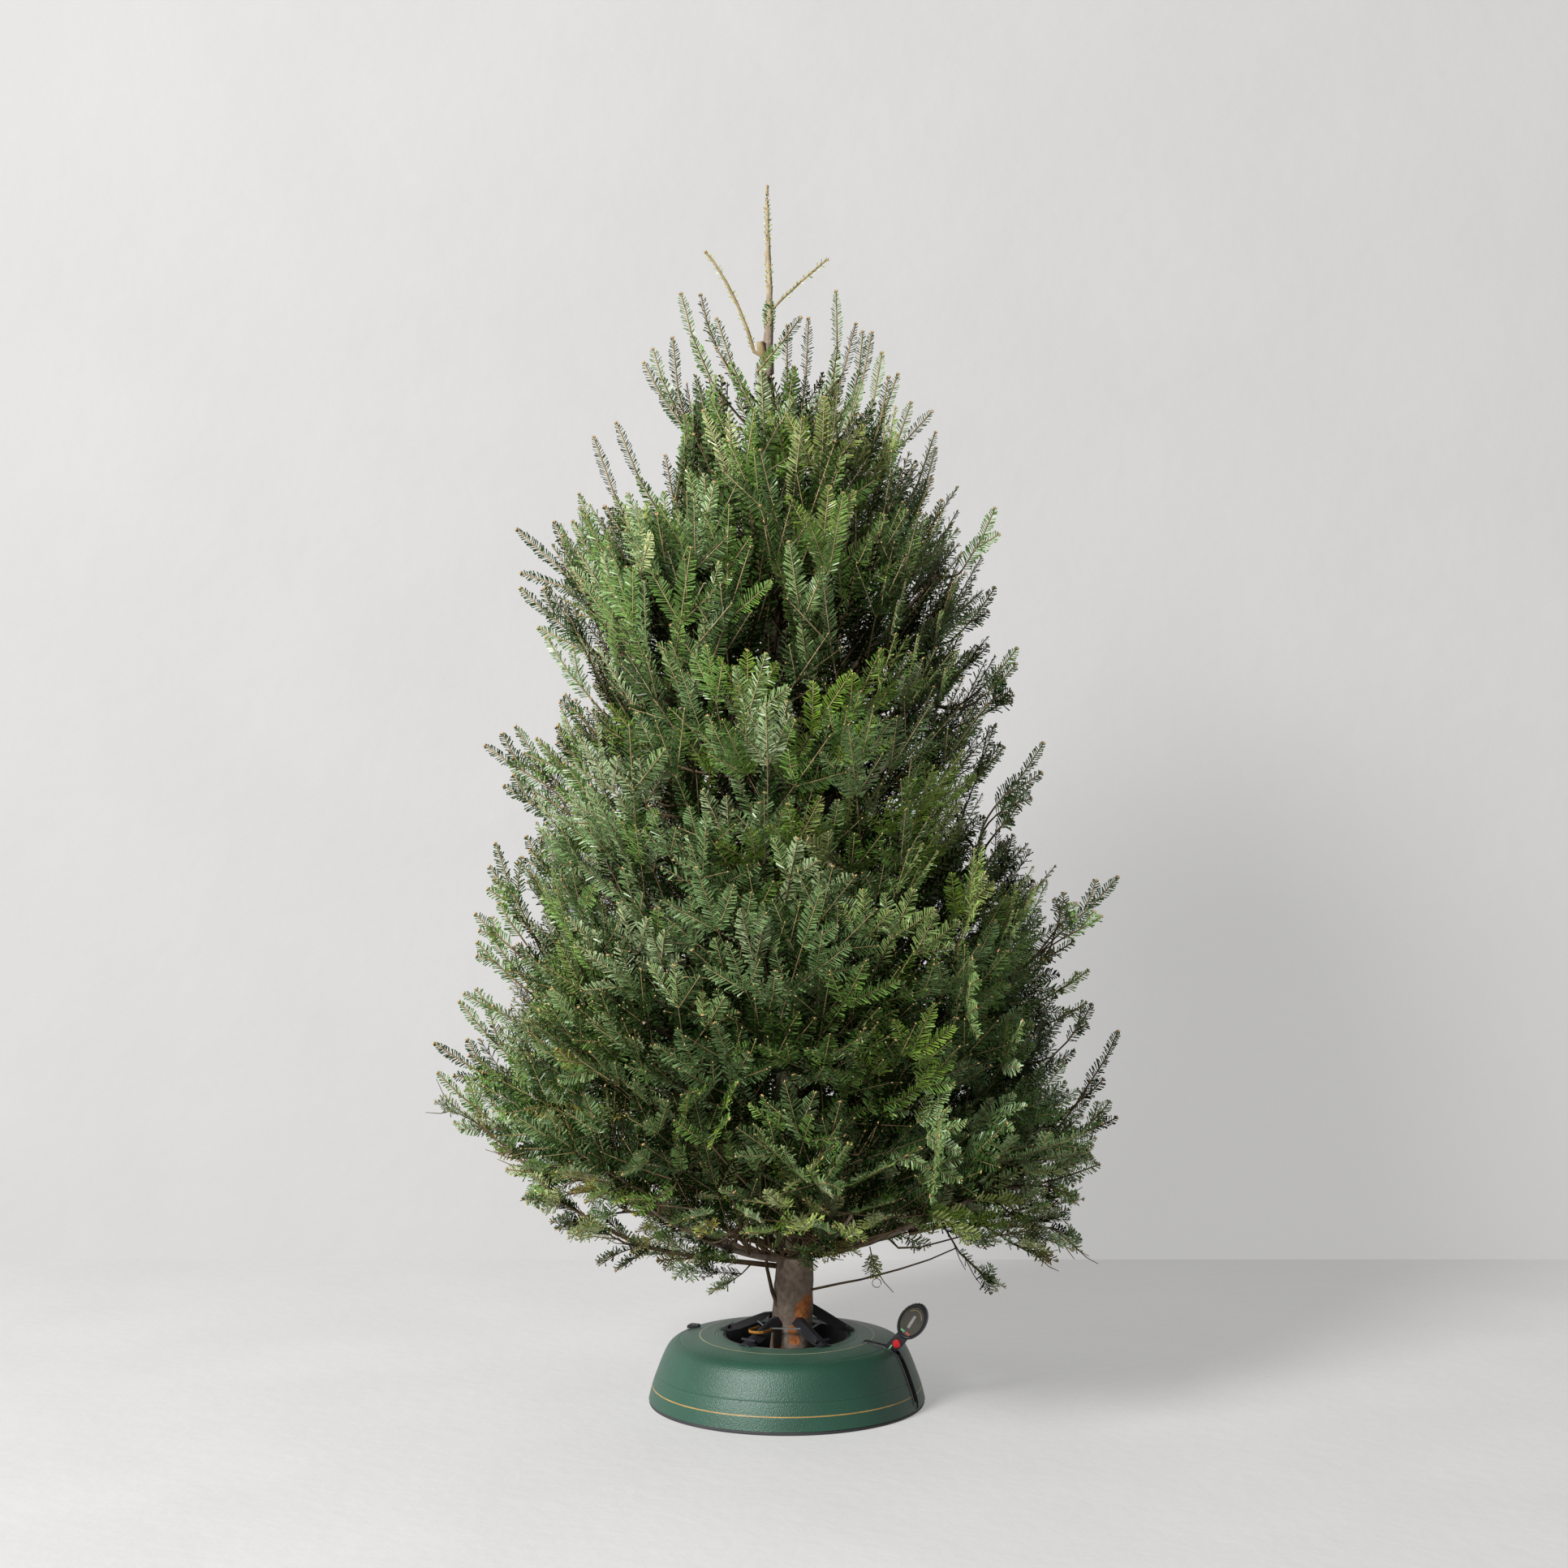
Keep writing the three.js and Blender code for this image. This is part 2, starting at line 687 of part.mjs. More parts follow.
const ringOf = (radius) => {
  const geometry = new THREE.TorusGeometry(CABLE_RING_RADIUS, radius, 6, CLAW_COUNT);
  geometry.rotateZ(radians(CLAW_FIRST_AZIMUTH));
  geometry.translate(axisAt(CABLE_HEIGHT) / 2, 0, CABLE_HEIGHT);
  return solidOf(geometry);
};
const cableClearance = ringOf(CABLE_RADIUS + 2 * GAP);
addNode("clamp_cable", ringOf(CABLE_RADIUS), STEEL);

for (let i = 0; i < CLAW_COUNT; i++) {
  const azimuth = CLAW_FIRST_AZIMUTH + (360 / CLAW_COUNT) * i;
  const claw = clawSolid(azimuth).subtract(trunkClearance).subtract(cableClearance);
  addNode(`claw_${i + 1}`, largest(claw), BLACK_PLASTIC);
}

// The foot lever in its slot, its red release button, the lining of the slot and the catch on the shoulder

const HUB_RADIUS = 20;
const HUB_REACH = 166;
const PADDLE_REACH = 227;
const PADDLE_CENTRE_HEIGHT = 153;
const BUTTON_REACH = 200.5;
const BUTTON_HEIGHT = 114.5;
const BUTTON_RADIUS = 7;
const BUTTON_LENGTH = 4.5;
const hubHeight = ABOVE_BASE + HUB_RADIUS;

const round = (x, y, rx, ry, turn) =>
  new THREE.EllipseCurve(x, y, rx, ry, 0, 2 * Math.PI, false, turn)
    .getPoints(OVAL_POINTS)
    .slice(0, -1)
    .map((p) => [p.x, p.y]);
const paddleOutline = round(
  PADDLE_REACH,
  PADDLE_CENTRE_HEIGHT,
  PADDLE_LENGTH / 2,
  PADDLE_WIDTH / 2,
  radians(LEVER_RISE)
);
const armOutline = [
  [HUB_REACH - 9, hubHeight],
  [HUB_REACH + 9, hubHeight - 4],
  [197, 100],
  [211, 112],
  [225, 132],
  [209, 142],
  [191, 122],
  [182, 112],
];
const hubOutline = round(HUB_REACH, hubHeight, HUB_RADIUS, HUB_RADIUS, 0);
const lever = plate(paddleOutline, LEVER_THICKNESS + 4, LEVER_AZIMUTH, 2)
  .add(plate(armOutline, LEVER_THICKNESS, LEVER_AZIMUTH))
  .add(plate(hubOutline, LEVER_THICKNESS, LEVER_AZIMUTH));
addNode("foot_lever", lever, BLACK_PLASTIC);

const button = new THREE.CylinderGeometry(BUTTON_RADIUS, BUTTON_RADIUS, BUTTON_LENGTH, 16);
button.rotateX(Math.PI / 2);
button.translate(BUTTON_REACH, BUTTON_HEIGHT, LEVER_THICKNESS / 2 + GAP + BUTTON_LENGTH / 2);
addNode("lever_button", standUpright(button, LEVER_AZIMUTH), RED_PLASTIC);

const liningOutline = [
  [SLOT_INNER_RADIUS + GAP, 88],
  [SLOT_INNER_RADIUS + GAP, SHELL_TOP - 2],
  [181, 105],
  [194, 99.5],
  [203, 90.5],
  [221.5, 50],
  [231.5, 20],
  [232.5, SLOT_FOOT_HEIGHT + GAP],
  [205, SLOT_FOOT_HEIGHT + GAP],
  [190, 80],
];
const liningGroove = [
  [SLOT_INNER_RADIUS - 5, 60],
  [SLOT_INNER_RADIUS - 5, SLOT_CLEAR_HEIGHT],
  [SLOT_CLEAR_RADIUS, SLOT_CLEAR_HEIGHT],
  [SLOT_CLEAR_RADIUS, 24],
  [150, 24],
];
const lining = plate(liningOutline, SLOT_WIDTH - 2 * GAP, LEVER_AZIMUTH).subtract(
  plate(liningGroove, SLOT_WIDTH - 5, LEVER_AZIMUTH)
);
addNode("slot_lining", lining, BLACK_PLASTIC);

const catchOutline = [
  [167, 109.3],
  [190, 105.2],
  [190, 110],
  [184, 114],
  [168, 114],
];
addNode("shoulder_catch", plate(catchOutline, 9, CATCH_AZIMUTH), BLACK_PLASTIC);

export default tree;
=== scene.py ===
# %% [markdown]
# # A cut fir in a round stand
#
# The object is a real fir of about two metres. It is cut flat at its foot, and five claws hold it in a
# round green stand with a foot lever. A fixed frame of plain solids gives every place and size, and this
# script dresses it: bark with relief, boughs that fork down to twigs, combs of needles, buds, and the
# moulded stand. Everything is in metres, with Z up, the tree's front facing -Y and the origin under the
# middle of the stand.

# %% Load the frame
import math
import random

import bmesh
import bpy
import numpy as np
from mathutils import Matrix, Vector, noise


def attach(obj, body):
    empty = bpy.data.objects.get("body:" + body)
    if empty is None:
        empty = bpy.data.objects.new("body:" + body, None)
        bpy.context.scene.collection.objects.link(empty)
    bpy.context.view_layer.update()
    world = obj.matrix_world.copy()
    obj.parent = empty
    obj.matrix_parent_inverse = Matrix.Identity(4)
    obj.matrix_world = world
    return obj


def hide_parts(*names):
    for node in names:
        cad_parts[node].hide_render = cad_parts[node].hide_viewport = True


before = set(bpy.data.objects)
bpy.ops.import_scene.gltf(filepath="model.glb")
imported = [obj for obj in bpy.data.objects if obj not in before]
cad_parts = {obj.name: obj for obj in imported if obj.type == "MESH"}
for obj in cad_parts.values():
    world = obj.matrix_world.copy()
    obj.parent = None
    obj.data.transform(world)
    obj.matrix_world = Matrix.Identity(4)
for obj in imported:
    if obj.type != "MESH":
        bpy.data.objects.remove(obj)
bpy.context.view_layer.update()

# %% [markdown]
# ## Camera
#
# The photographer stood about four metres off with the camera level at half the tree's height, so upright
# lines stay upright. A fairly long lens keeps the tiers from spreading towards the corners.

# %% Camera
CAMERA_PLACE = (-0.005, -4.2, 1.052)
CAMERA_LENS = 56.45

camera = bpy.data.objects.new("camera", bpy.data.cameras.new("camera"))
camera.data.lens = CAMERA_LENS
camera.location = CAMERA_PLACE
camera.rotation_euler = (math.radians(90), 0, 0)
bpy.context.scene.collection.objects.link(camera)
bpy.context.scene.camera = camera
print("camera", round(-CAMERA_PLACE[1], 2), "m in front of the trunk")

# %% [markdown]
# ## Colours and materials
#
# Colours are read as the hexadecimal values that a painter would pick, and turned to the linear values
# that the shader works in. Every material is a Principled shader. What varies over a surface comes from
# shared node groups: "tone" mixes two colours by a soft noise, "grain" gives a fine bump, "spot" masks a
# ragged patch, and "ring_line" masks a line painted round the stand. All read Object coordinates, because
# each piece lies at the origin, so a pattern stays where it is on the object.

# %% Colours
def linear(code):
    """The linear colour of a hexadecimal code such as "2c4a24"."""
    parts = [int(code[i:i + 2], 16) / 255 for i in (0, 2, 4)]
    return tuple(c / 12.92 if c < 0.04045 else ((c + 0.055) / 1.055) ** 2.4 for c in parts) + (1,)


# %% Shared node groups
def node_group(name, inputs, outputs):
    """An empty shader group with named sockets, and its two end nodes."""
    group = bpy.data.node_groups.new(name, "ShaderNodeTree")
    for label, kind, value in inputs:
        socket = group.interface.new_socket(label, in_out="INPUT", socket_type=kind)
        socket.default_value = value
    for label, kind in outputs:
        group.interface.new_socket(label, in_out="OUTPUT", socket_type=kind)
    return group, group.nodes.new("NodeGroupInput"), group.nodes.new("NodeGroupOutput")


def add_node(tree, kind, values, **settings):
    """A node with its settings and inputs. An input gets a fixed value or another node's socket."""
    node = tree.nodes.new("ShaderNode" + kind)
    for label, setting in settings.items():
        setattr(node, label, setting)
    for label, value in values.items():
        if isinstance(value, bpy.types.NodeSocket):
            tree.links.new(value, node.inputs[label])
        else:
            node.inputs[label].default_value = value
    return node


def object_place(tree):
    return add_node(tree, "TexCoord", {}).outputs["Object"]


def noise_in(tree, scale, detail):
    """A noise texture on Object coordinates."""
    values = {"Detail": detail, "Vector": object_place(tree), "Scale": scale}
    return add_node(tree, "TexNoise", values).outputs["Fac"]


def blend(tree, factor, first, second):
    """Mixes two colours. Each of the three may be a socket or a fixed value."""
    mix = add_node(tree, "Mix", {"Factor": factor, "A": first, "B": second}, data_type="RGBA")
    return mix.outputs["Result"]


def make_tone():
    group, start, end = node_group(
        "tone",
        [
            ("Main", "NodeSocketColor", (0.5, 0.5, 0.5, 1)),
            ("Second", "NodeSocketColor", (0.3, 0.3, 0.3, 1)),
            ("Scale", "NodeSocketFloat", 8.0),
            ("Amount", "NodeSocketFloat", 0.5),
        ],
        [("Color", "NodeSocketColor")],
    )
    cloud = noise_in(group, start.outputs["Scale"], 3)
    spread = {"Value": cloud, "From Min": 0.38, "From Max": 0.62, "To Max": start.outputs["Amount"]}
    share = add_node(group, "MapRange", spread).outputs["Result"]
    mixed = blend(group, share, start.outputs["Main"], start.outputs["Second"])
    group.links.new(mixed, end.inputs["Color"])
    return group


def make_grain():
    group, start, end = node_group(
        "grain",
        [("Scale", "NodeSocketFloat", 200.0), ("Height", "NodeSocketFloat", 0.0005)],
        [("Normal", "NodeSocketVector")],
    )
    fine = noise_in(group, start.outputs["Scale"], 4)
    bump = add_node(group, "Bump", {"Height": fine, "Distance": start.outputs["Height"]})
    group.links.new(bump.outputs["Normal"], end.inputs["Normal"])
    return group


def make_spot():
    """A mask that is 1 within a ragged distance of a place."""
    group, start, end = node_group(
        "spot",
        [("Centre", "NodeSocketVector", (0.0, 0.0, 0.0)), ("Reach", "NodeSocketFloat", 0.01)],
        [("Mask", "NodeSocketFloat")],
    )
    ends = {0: object_place(group), 1: start.outputs["Centre"]}
    far = add_node(group, "VectorMath", ends, operation="DISTANCE").outputs["Value"]
    share = add_node(group, "Math", {0: far, 1: start.outputs["Reach"]}, operation="DIVIDE").outputs["Value"]
    ragged = {0: share, 1: noise_in(group, 130.0, 3)}
    edge = add_node(group, "Math", ragged, operation="ADD").outputs["Value"]
    fade = add_node(group, "MapRange", {"Value": edge, "From Min": 1.6, "From Max": 1.4})
    group.links.new(fade.outputs["Result"], end.inputs["Mask"])
    return group


def make_ring_line():
    """A mask that is 1 on a painted line round the Z axis, at a radius and a height."""
    group, start, end = node_group(
        "ring_line",
        [
            ("Radius", "NodeSocketFloat", 0.2),
            ("Height", "NodeSocketFloat", 0.03),
            ("Half", "NodeSocketFloat", 0.001),
        ],
        [("Mask", "NodeSocketFloat")],
    )
    place = object_place(group)
    flat = add_node(group, "VectorMath", {0: place, 1: (1, 1, 0)}, operation="MULTIPLY")
    radius = add_node(group, "VectorMath", {0: flat.outputs["Vector"]}, operation="LENGTH")
    parts = add_node(group, "SeparateXYZ", {"Vector": place})
    here = add_node(group, "CombineXYZ", {"X": radius.outputs["Value"], "Z": parts.outputs["Z"]})
    there = add_node(group, "CombineXYZ", {"X": start.outputs["Radius"], "Z": start.outputs["Height"]})
    ends = {0: here.outputs["Vector"], 1: there.outputs["Vector"]}
    distance = add_node(group, "VectorMath", ends, operation="DISTANCE").outputs["Value"]
    inside = add_node(group, "Math", {0: distance, 1: start.outputs["Half"]}, operation="LESS_THAN")
    group.links.new(inside.outputs["Value"], end.inputs["Mask"])
    return group


TONE = make_tone()
GRAIN = make_grain()
SPOT = make_spot()
RING_LINE = make_ring_line()


# %% Material helpers
def new_material(name, roughness, specular=0.5, metallic=0.0):
    """A material with its node tree and its Principled shader."""
    made = bpy.data.materials.new(name)
    made.use_nodes = True
    shader = made.node_tree.nodes["Principled BSDF"]
    shader.inputs["Roughness"].default_value = roughness
    shader.inputs["Specular IOR Level"].default_value = specular
    shader.inputs["Metallic"].default_value = metallic
    return made, made.node_tree, shader


def place_group(tree, group, **values):
    node = tree.nodes.new("ShaderNodeGroup")
    node.node_tree = group
    for label, value in values.items():
        node.inputs[label].default_value = value
    return node


def two_tone(tree, main, second, scale, amount):
    """Two shades of one colour, blended by the tone group."""
    tone = place_group(tree, TONE, Main=linear(main), Second=linear(second), Scale=scale, Amount=amount)
    return tone.outputs["Color"]


def height_fade(tree, low, high, most=1.0):
    """A mask that rises from 0 at one height to its most at another."""
    parts = add_node(tree, "SeparateXYZ", {"Vector": object_place(tree)})
    rise = {"Value": parts.outputs["Z"], "From Min": low, "From Max": high, "To Max": most}
    return add_node(tree, "MapRange", rise).outputs["Result"]


def dress(tree, shader, colour, grain):
    """Gives a shader its colour and its fine bump, which has a scale and a height."""
    bump = place_group(tree, GRAIN, Scale=grain[0], Height=grain[1])
    tree.links.new(colour, shader.inputs["Base Color"])
    tree.links.new(bump.outputs["Normal"], shader.inputs["Normal"])


def toned(name, main, second, scale, amount, roughness, grain=(300, 0.0004), **more):
    """A material of two blended colours with a fine grain."""
    made, tree, shader = new_material(name, roughness, **more)
    dress(tree, shader, two_tone(tree, main, second, scale, amount), grain)
    return made


# %% [markdown]
# ## The room
#
# The room is only a pale floor and a pale wall a little over a metre behind the tree. Both are flat
# grids. The wall is clear from its far side, so that the tree can be looked at from behind as well.

# %% Floor and wall
WALL_BEHIND = 1.24
STAGE_REACH = 9.0


def stage_plane(name, turn, place, look):
    bm = bmesh.new()
    bmesh.ops.create_grid(bm, x_segments=1, y_segments=1, size=STAGE_REACH)
    bmesh.ops.transform(bm, matrix=Matrix.Translation(place) @ turn, verts=bm.verts)
    mesh = bpy.data.meshes.new(name)
    bm.to_mesh(mesh)
    bm.free()
    plane = bpy.data.objects.new(name, mesh)
    plane.data.materials.append(look)
    bpy.context.scene.collection.objects.link(plane)


def room_look(name, main, second, scale, glow, grain):
    """Pale paint with a faint glow of its own, which stands for the light that a whole white room returns."""
    made = toned(name, main, second, scale, 0.8, 0.85, grain=grain)
    shader = made.node_tree.nodes["Principled BSDF"]
    shader.inputs["Emission Color"].default_value = (1.0, 0.995, 0.98, 1)
    shader.inputs["Emission Strength"].default_value = glow
    return made


floor_look = room_look("pale_floor", "9a9998", "959493", 3, 0.31, (30, 0.002))
wall_look = room_look("pale_wall", "757473", "71706f", 2.5, 0.44, (14, 0.004))
wall_tree = wall_look.node_tree
far_side = add_node(wall_tree, "NewGeometry", {}).outputs["Backfacing"]
solid = add_node(wall_tree, "Math", {0: 1.0, 1: far_side}, operation="SUBTRACT")
wall_tree.links.new(solid.outputs["Value"], wall_tree.nodes["Principled BSDF"].inputs["Alpha"])
stage_plane("floor", Matrix.Identity(4), (0, WALL_BEHIND - STAGE_REACH, 0), floor_look)
stage_plane("wall", Matrix.Rotation(math.radians(90), 4, "X"), (0, WALL_BEHIND, STAGE_REACH), wall_look)

# %% [markdown]
# ## Light
#
# The photograph has a broad soft light from the left and above, and a pale room that fills the shadows.
# One large area light gives the first. The glow of the floor and the wall and a dim, even world give the
# second. A much weaker light from the right keeps the shaded side readable.

# %% Lights
def area_light(name, place, target, size, watts):
    lamp = bpy.data.lights.new(name, "AREA")
    lamp.shape = "DISK"
    lamp.size = size
    lamp.energy = watts
    light = bpy.data.objects.new(name, lamp)
    light.location = place
    light.rotation_euler = (Vector(target) - Vector(place)).to_track_quat("-Z", "Y").to_euler()
    bpy.context.scene.collection.objects.link(light)


area_light("key_light", (-4.1, -4.7, 4.4), (0, 0, 0.9), 2.4, 900)
area_light("fill_light", (2.6, -4.4, 2.6), (0.3, 0.6, 1.0), 3.0, 3)

world = bpy.data.worlds.new("pale_room")
world.use_nodes = True
world.node_tree.nodes["Background"].inputs["Color"].default_value = (1.0, 1.0, 1.0, 1)
world.node_tree.nodes["Background"].inputs["Strength"].default_value = 0.07
bpy.context.scene.world = world
bpy.context.scene.view_settings.view_transform = "Standard"

# %% [markdown]
# ## The tree's measures
#
# These tables say how the tree grew: its trunk from the cut to the bare leader, how far the foliage
# reaches on either side by height, and the tiers of boughs. Everything on the tree is worked out from
# them, with the same seeded rule that shaped the frame's solids, so that the twigs follow the same limbs.

# %% Trunk, crown and tiers
# The trunk's rows are height, lean to the right and radius. The crown's are height and reach to that side.
TREE_HEIGHT = 2.075
TRUNK = np.array([
    (0.016, 0.004, 0.040), (0.060, 0.006, 0.0375), (0.110, 0.008, 0.0355), (0.163, 0.010, 0.034),
    (0.250, 0.014, 0.031), (0.450, 0.011, 0.0285), (0.750, 0.002, 0.025), (1.050, -0.009, 0.021),
    (1.400, -0.022, 0.0165), (1.738, -0.034, 0.012), (1.795, -0.033, 0.0095), (1.840, -0.030, 0.007),
    (1.863, -0.029, 0.0055), (1.960, -0.032, 0.0045), (2.045, -0.034, 0.0034), (TREE_HEIGHT, -0.034, 0.002),
])
CROWN_RIGHT = np.array([
    (0.190, 0.210), (0.208, 0.324), (0.245, 0.364), (0.270, 0.476), (0.374, 0.497), (0.471, 0.564),
    (0.668, 0.513), (0.825, 0.530), (0.890, 0.570), (0.963, 0.395), (1.118, 0.446), (1.278, 0.404),
    (1.515, 0.376), (1.636, 0.287), (1.754, 0.225), (1.830, 0.176), (1.899, 0.115), (1.945, 0.098),
    (1.985, 0.060),
])
CROWN_LEFT = np.array([
    (0.190, 0.090), (0.201, 0.118), (0.245, 0.262), (0.312, 0.386), (0.388, 0.493), (0.464, 0.578),
    (0.545, 0.638), (0.665, 0.562), (0.825, 0.520), (1.050, 0.468), (1.119, 0.500), (1.206, 0.357),
    (1.324, 0.406), (1.383, 0.430), (1.480, 0.427), (1.548, 0.326), (1.641, 0.295), (1.773, 0.213),
    (1.826, 0.166), (1.885, 0.152), (1.959, 0.106), (1.985, 0.060),
])
# A tier's floor has a height at the trunk and a rise for each metre outwards.
TIER_FLOORS = [
    (0.192, 0), (0.420, 0.31), (0.620, 0.42), (0.840, 0.62), (1.060, 0.82), (1.280, 0.78), (1.480, 1.16),
    (1.985, 0),
]
# Each tier has a count of masses, the first one's azimuth in degrees, its sprays across and up, the height
# and the rise of its stems and, where boughs show under the foliage, how far those reach.
TIERS = [
    dict(masses=6, turn=-15, across=4, up=2, root=0.232, rise=0.3, bough=0.215),
    dict(masses=5, turn=-54, across=5, up=2, root=0.455, rise=0.5, bough=0.200),
    dict(masses=4, turn=12, across=5, up=2, root=0.655, rise=0.65, bough=0.165),
    dict(masses=4, turn=-33, across=5, up=2, root=0.880, rise=0.85),
    dict(masses=3, turn=-10, across=5, up=2, root=1.100, rise=1.0),
    dict(masses=3, turn=50, across=5, up=2, root=1.325, rise=1.2),
    dict(masses=3, turn=-10, across=4, up=2, root=1.535, rise=1.8),
]
SEED = 20
print(len(TIERS), "tiers with", sum(t["masses"] for t in TIERS), "masses of foliage")

# %% [markdown]
# A place in the crown is told by its tier and its mass, by how far across and up the mass it lies, and by
# its share of the crown's reach. Azimuths run round the trunk's leaning axis, and 0 points to the right.

# %% Places in the crown
UP = np.array((0.0, 0.0, 1.0))


def unit(v):
    return v / max(np.linalg.norm(v), 1e-9)


def seeded(seed):
    """The frame's own random draws: a 32-bit counter, scrambled."""
    whole = 0xFFFFFFFF
    state = [seed]

    def draw():
        state[0] = (state[0] + 0x6D2B79F5) & whole
        s = state[0]
        t = ((s ^ (s >> 15)) * (1 | s)) & whole
        t = ((t + (((t ^ (t >> 7)) * (61 | t)) & whole)) & whole) ^ t
        return (t ^ (t >> 14)) / 4294967296

    return draw


def along(table, height, column=1):
    return float(np.interp(height, table[:, 0], table[:, column]))


def axis_at(height):
    return along(TRUNK, height)


def around(azimuth, radius, height):
    """A place by its azimuth about the trunk, its distance from the trunk's axis and its height."""
    return np.array((axis_at(height) + radius * math.cos(azimuth), radius * math.sin(azimuth), height))


def azimuth_of(place):
    return math.atan2(place[1], place[0] - axis_at(place[2]))


def radius_of(place):
    return math.hypot(place[0] - axis_at(place[2]), place[1])


def reach(height, azimuth):
    """How far the crown reaches at a height, from the left table round to the right one."""
    share = (1 + math.cos(azimuth)) / 2
    return (1 - share) * along(CROWN_LEFT, height) + share * along(CROWN_RIGHT, height)


def floor_at(tier, radius):
    return TIER_FLOORS[tier][0] + TIER_FLOORS[tier][1] * radius


def crown_place(space, across, up, depth):
    """The place at a share across and up a mass's outer face, drawn in to a share of the reach."""
    azimuth = space["middle"] + space["half"] * (2 * across - 1)
    for radius in np.arange(0.7, 0, -0.004):
        low, high = floor_at(space["tier"], radius), floor_at(space["tier"] + 1, radius)
        height = low + (high - low) * up
        if radius <= depth * reach(height, azimuth):
            return around(azimuth, radius, height)
    return around(azimuth, 0, floor_at(space["tier"], 0))


# %% [markdown]
# ## How the foliage grows
#
# A fir's bough forks in one flat fan: each year every tip makes one leader and a pair of side shoots, so
# a fan of three years has thirteen shoots. The script grows such fans by recursion. Each fan ends one
# branch, and the branches leave each mass's stem towards places spread evenly over the crown's face and a
# few inside it. A shoot is only remembered here as a short record of its ends, facing, colour and size.
# The meshes come later, from arrays, because there are thousands of shoots and hundreds of thousands of
# needles.

# %% Records of shoots and twigs
class Growth:
    """Everything that grows: branches, needled shoots, the twigs in them, and buds."""

    def __init__(self):
        self.shoots = []
        self.branches = []
        self.twigs = []
        self.buds = []


growth = Growth()
dice = random.Random(SEED)


def jitter(amount):
    return np.array([dice.uniform(-amount, amount) for _ in range(3)])


def turned_about(v, axis, angle):
    """A vector turned about a unit axis."""
    c, s = math.cos(angle), math.sin(angle)
    return v * c + np.cross(axis, v) * s + axis * (axis @ v) * (1 - c)


def facing(direction, outward, flatness, roll):
    """The upper side of a fan: outward on steep shoots, upward on level ones."""
    wanted = outward * (1 - flatness) + UP * flatness
    normal = wanted - direction * (wanted @ direction)
    return turned_about(unit(normal), direction, roll)


# %% [markdown]
# The crown has limits of its own. Nothing grows past its reach, over the crest where the leader stands
# bare, far behind the trunk, in the open place at the left shoulder, or below an underside that is
# measured across.

# %% Limits of the crown
FURTHEST_BACK = 0.54
FREE = 9.0
FREE_LEAST_HEIGHT = 0.200
CREST_HEIGHT = 1.76
STEM_CREST = 1.60
UNDERSIDE = np.array([
    (-0.50, 0.420), (-0.40, 0.400), (-0.30, 0.375), (-0.20, 0.355), (-0.10, 0.340), (0.00, 0.305),
    (0.06, 0.300), (0.12, 0.315), (0.20, 0.335), (0.30, 0.335), (0.40, 0.320), (0.45, 0.330), (0.52, 0.370),
])
UNDERSIDE_TILT = 0.17
UNDERSIDE_RAGGED = 0.004
OPEN_SHOULDER = (-0.175, 1.525, 1.740)
EDGE_RAGGED = 0.012


def underside_at(place):
    return along(UNDERSIDE, place[0]) - UNDERSIDE_TILT * place[1]


def allowed(place, slack=1.0):
    """Whether a place is in the crown. A free spray only has to stay clear of the stand."""
    if slack == FREE:
        return place[2] > FREE_LEAST_HEIGHT
    lowest = underside_at(place) + UNDERSIDE_RAGGED * dice.random()
    if place[2] < lowest or place[2] > CREST_HEIGHT or abs(place[1]) > FURTHEST_BACK:
        return False
    across, low, high = OPEN_SHOULDER
    if place[0] < across and low < place[2] < high:
        return False
    return radius_of(place) < slack * reach(place[2], azimuth_of(place)) + EDGE_RAGGED


# %% [markdown]
# The colour of a fan follows where it grows. The photograph shows bright fresh green on the right at half
# height, blue-grey green on the left, olive and rusty sprays along the skirt, and pale tips at the top.
# Round the back, where nothing is seen, slow noise over the azimuth and the height deals out the same
# tints in patches. Fans inside the crown get the nearly black shade tint and more deep green, and deep
# green grows towards the right, away from the key light: this is painted shade.

# %% Tints by place
TINTS = ["shade", "deep", "mid", "blue", "fresh", "pale", "olive"]
NEXT_TINTS = {
    "shade": ["deep"], "deep": ["mid"], "mid": ["deep", "fresh", "blue"], "blue": ["mid", "deep"],
    "fresh": ["mid", "pale"], "pale": ["mid", "fresh"], "olive": ["pale", "mid"],
}
FRESH_PLACE = (math.radians(-55), 1.00)
BLUE_PLACE = (math.radians(-132), 1.03)
SHADE_TOP = 1.5
OWN_TINT_SHARE = 0.8


def near(place, centre, wide, tall):
    """1 at a centre, by azimuth and height, and falling off round it."""
    turn = azimuth_of(place) - centre[0]
    turn = math.atan2(math.sin(turn), math.cos(turn))
    return math.exp(-((turn / wide) ** 2) - ((place[2] - centre[1]) / tall) ** 2)


def pick_tint(place, outer):
    """A tint for a fan, by weights that depend on its height, azimuth and depth, with painted shade inside
    and on the right.
    """
    height = place[2]
    azimuth = azimuth_of(place)
    patch = noise.noise(Vector((math.cos(azimuth) * 1.6, math.sin(azimuth) * 1.6, height * 2.2)))
    skirt = max(0.0, 1 - height / 0.52)
    crest = max(0.0, (height - 1.35) / 0.5)
    weights = {
        # Inner fans take the shade tint, more deep green and less mid and pale green: painted shade inside
        # the crown.
        "shade": 0 if outer or height > SHADE_TOP else 8,
        # Deep green grows with the distance to the right: painted shade on the side away from the key light.
        "deep": 1.5 + (0 if outer else 1.5) + 4.0 * max(0.0, place[0]),
        "mid": 2.4 if outer else 0.5,
        "blue": 0.4 + 5.0 * near(place, BLUE_PLACE, 0.8, 0.33) + max(0, patch) * 1.6,
        "fresh": 0.15 + 14.0 * near(place, FRESH_PLACE, 0.46, 0.19) + max(0, -patch) * 0.7,
        "pale": (0.1 + 0.8 * crest + 2.0 * skirt) * (1 if outer else 0.2),
        "olive": 0.04 + 5.0 * skirt,
    }
    return dice.choices(TINTS, [weights[t] for t in TINTS])[0]


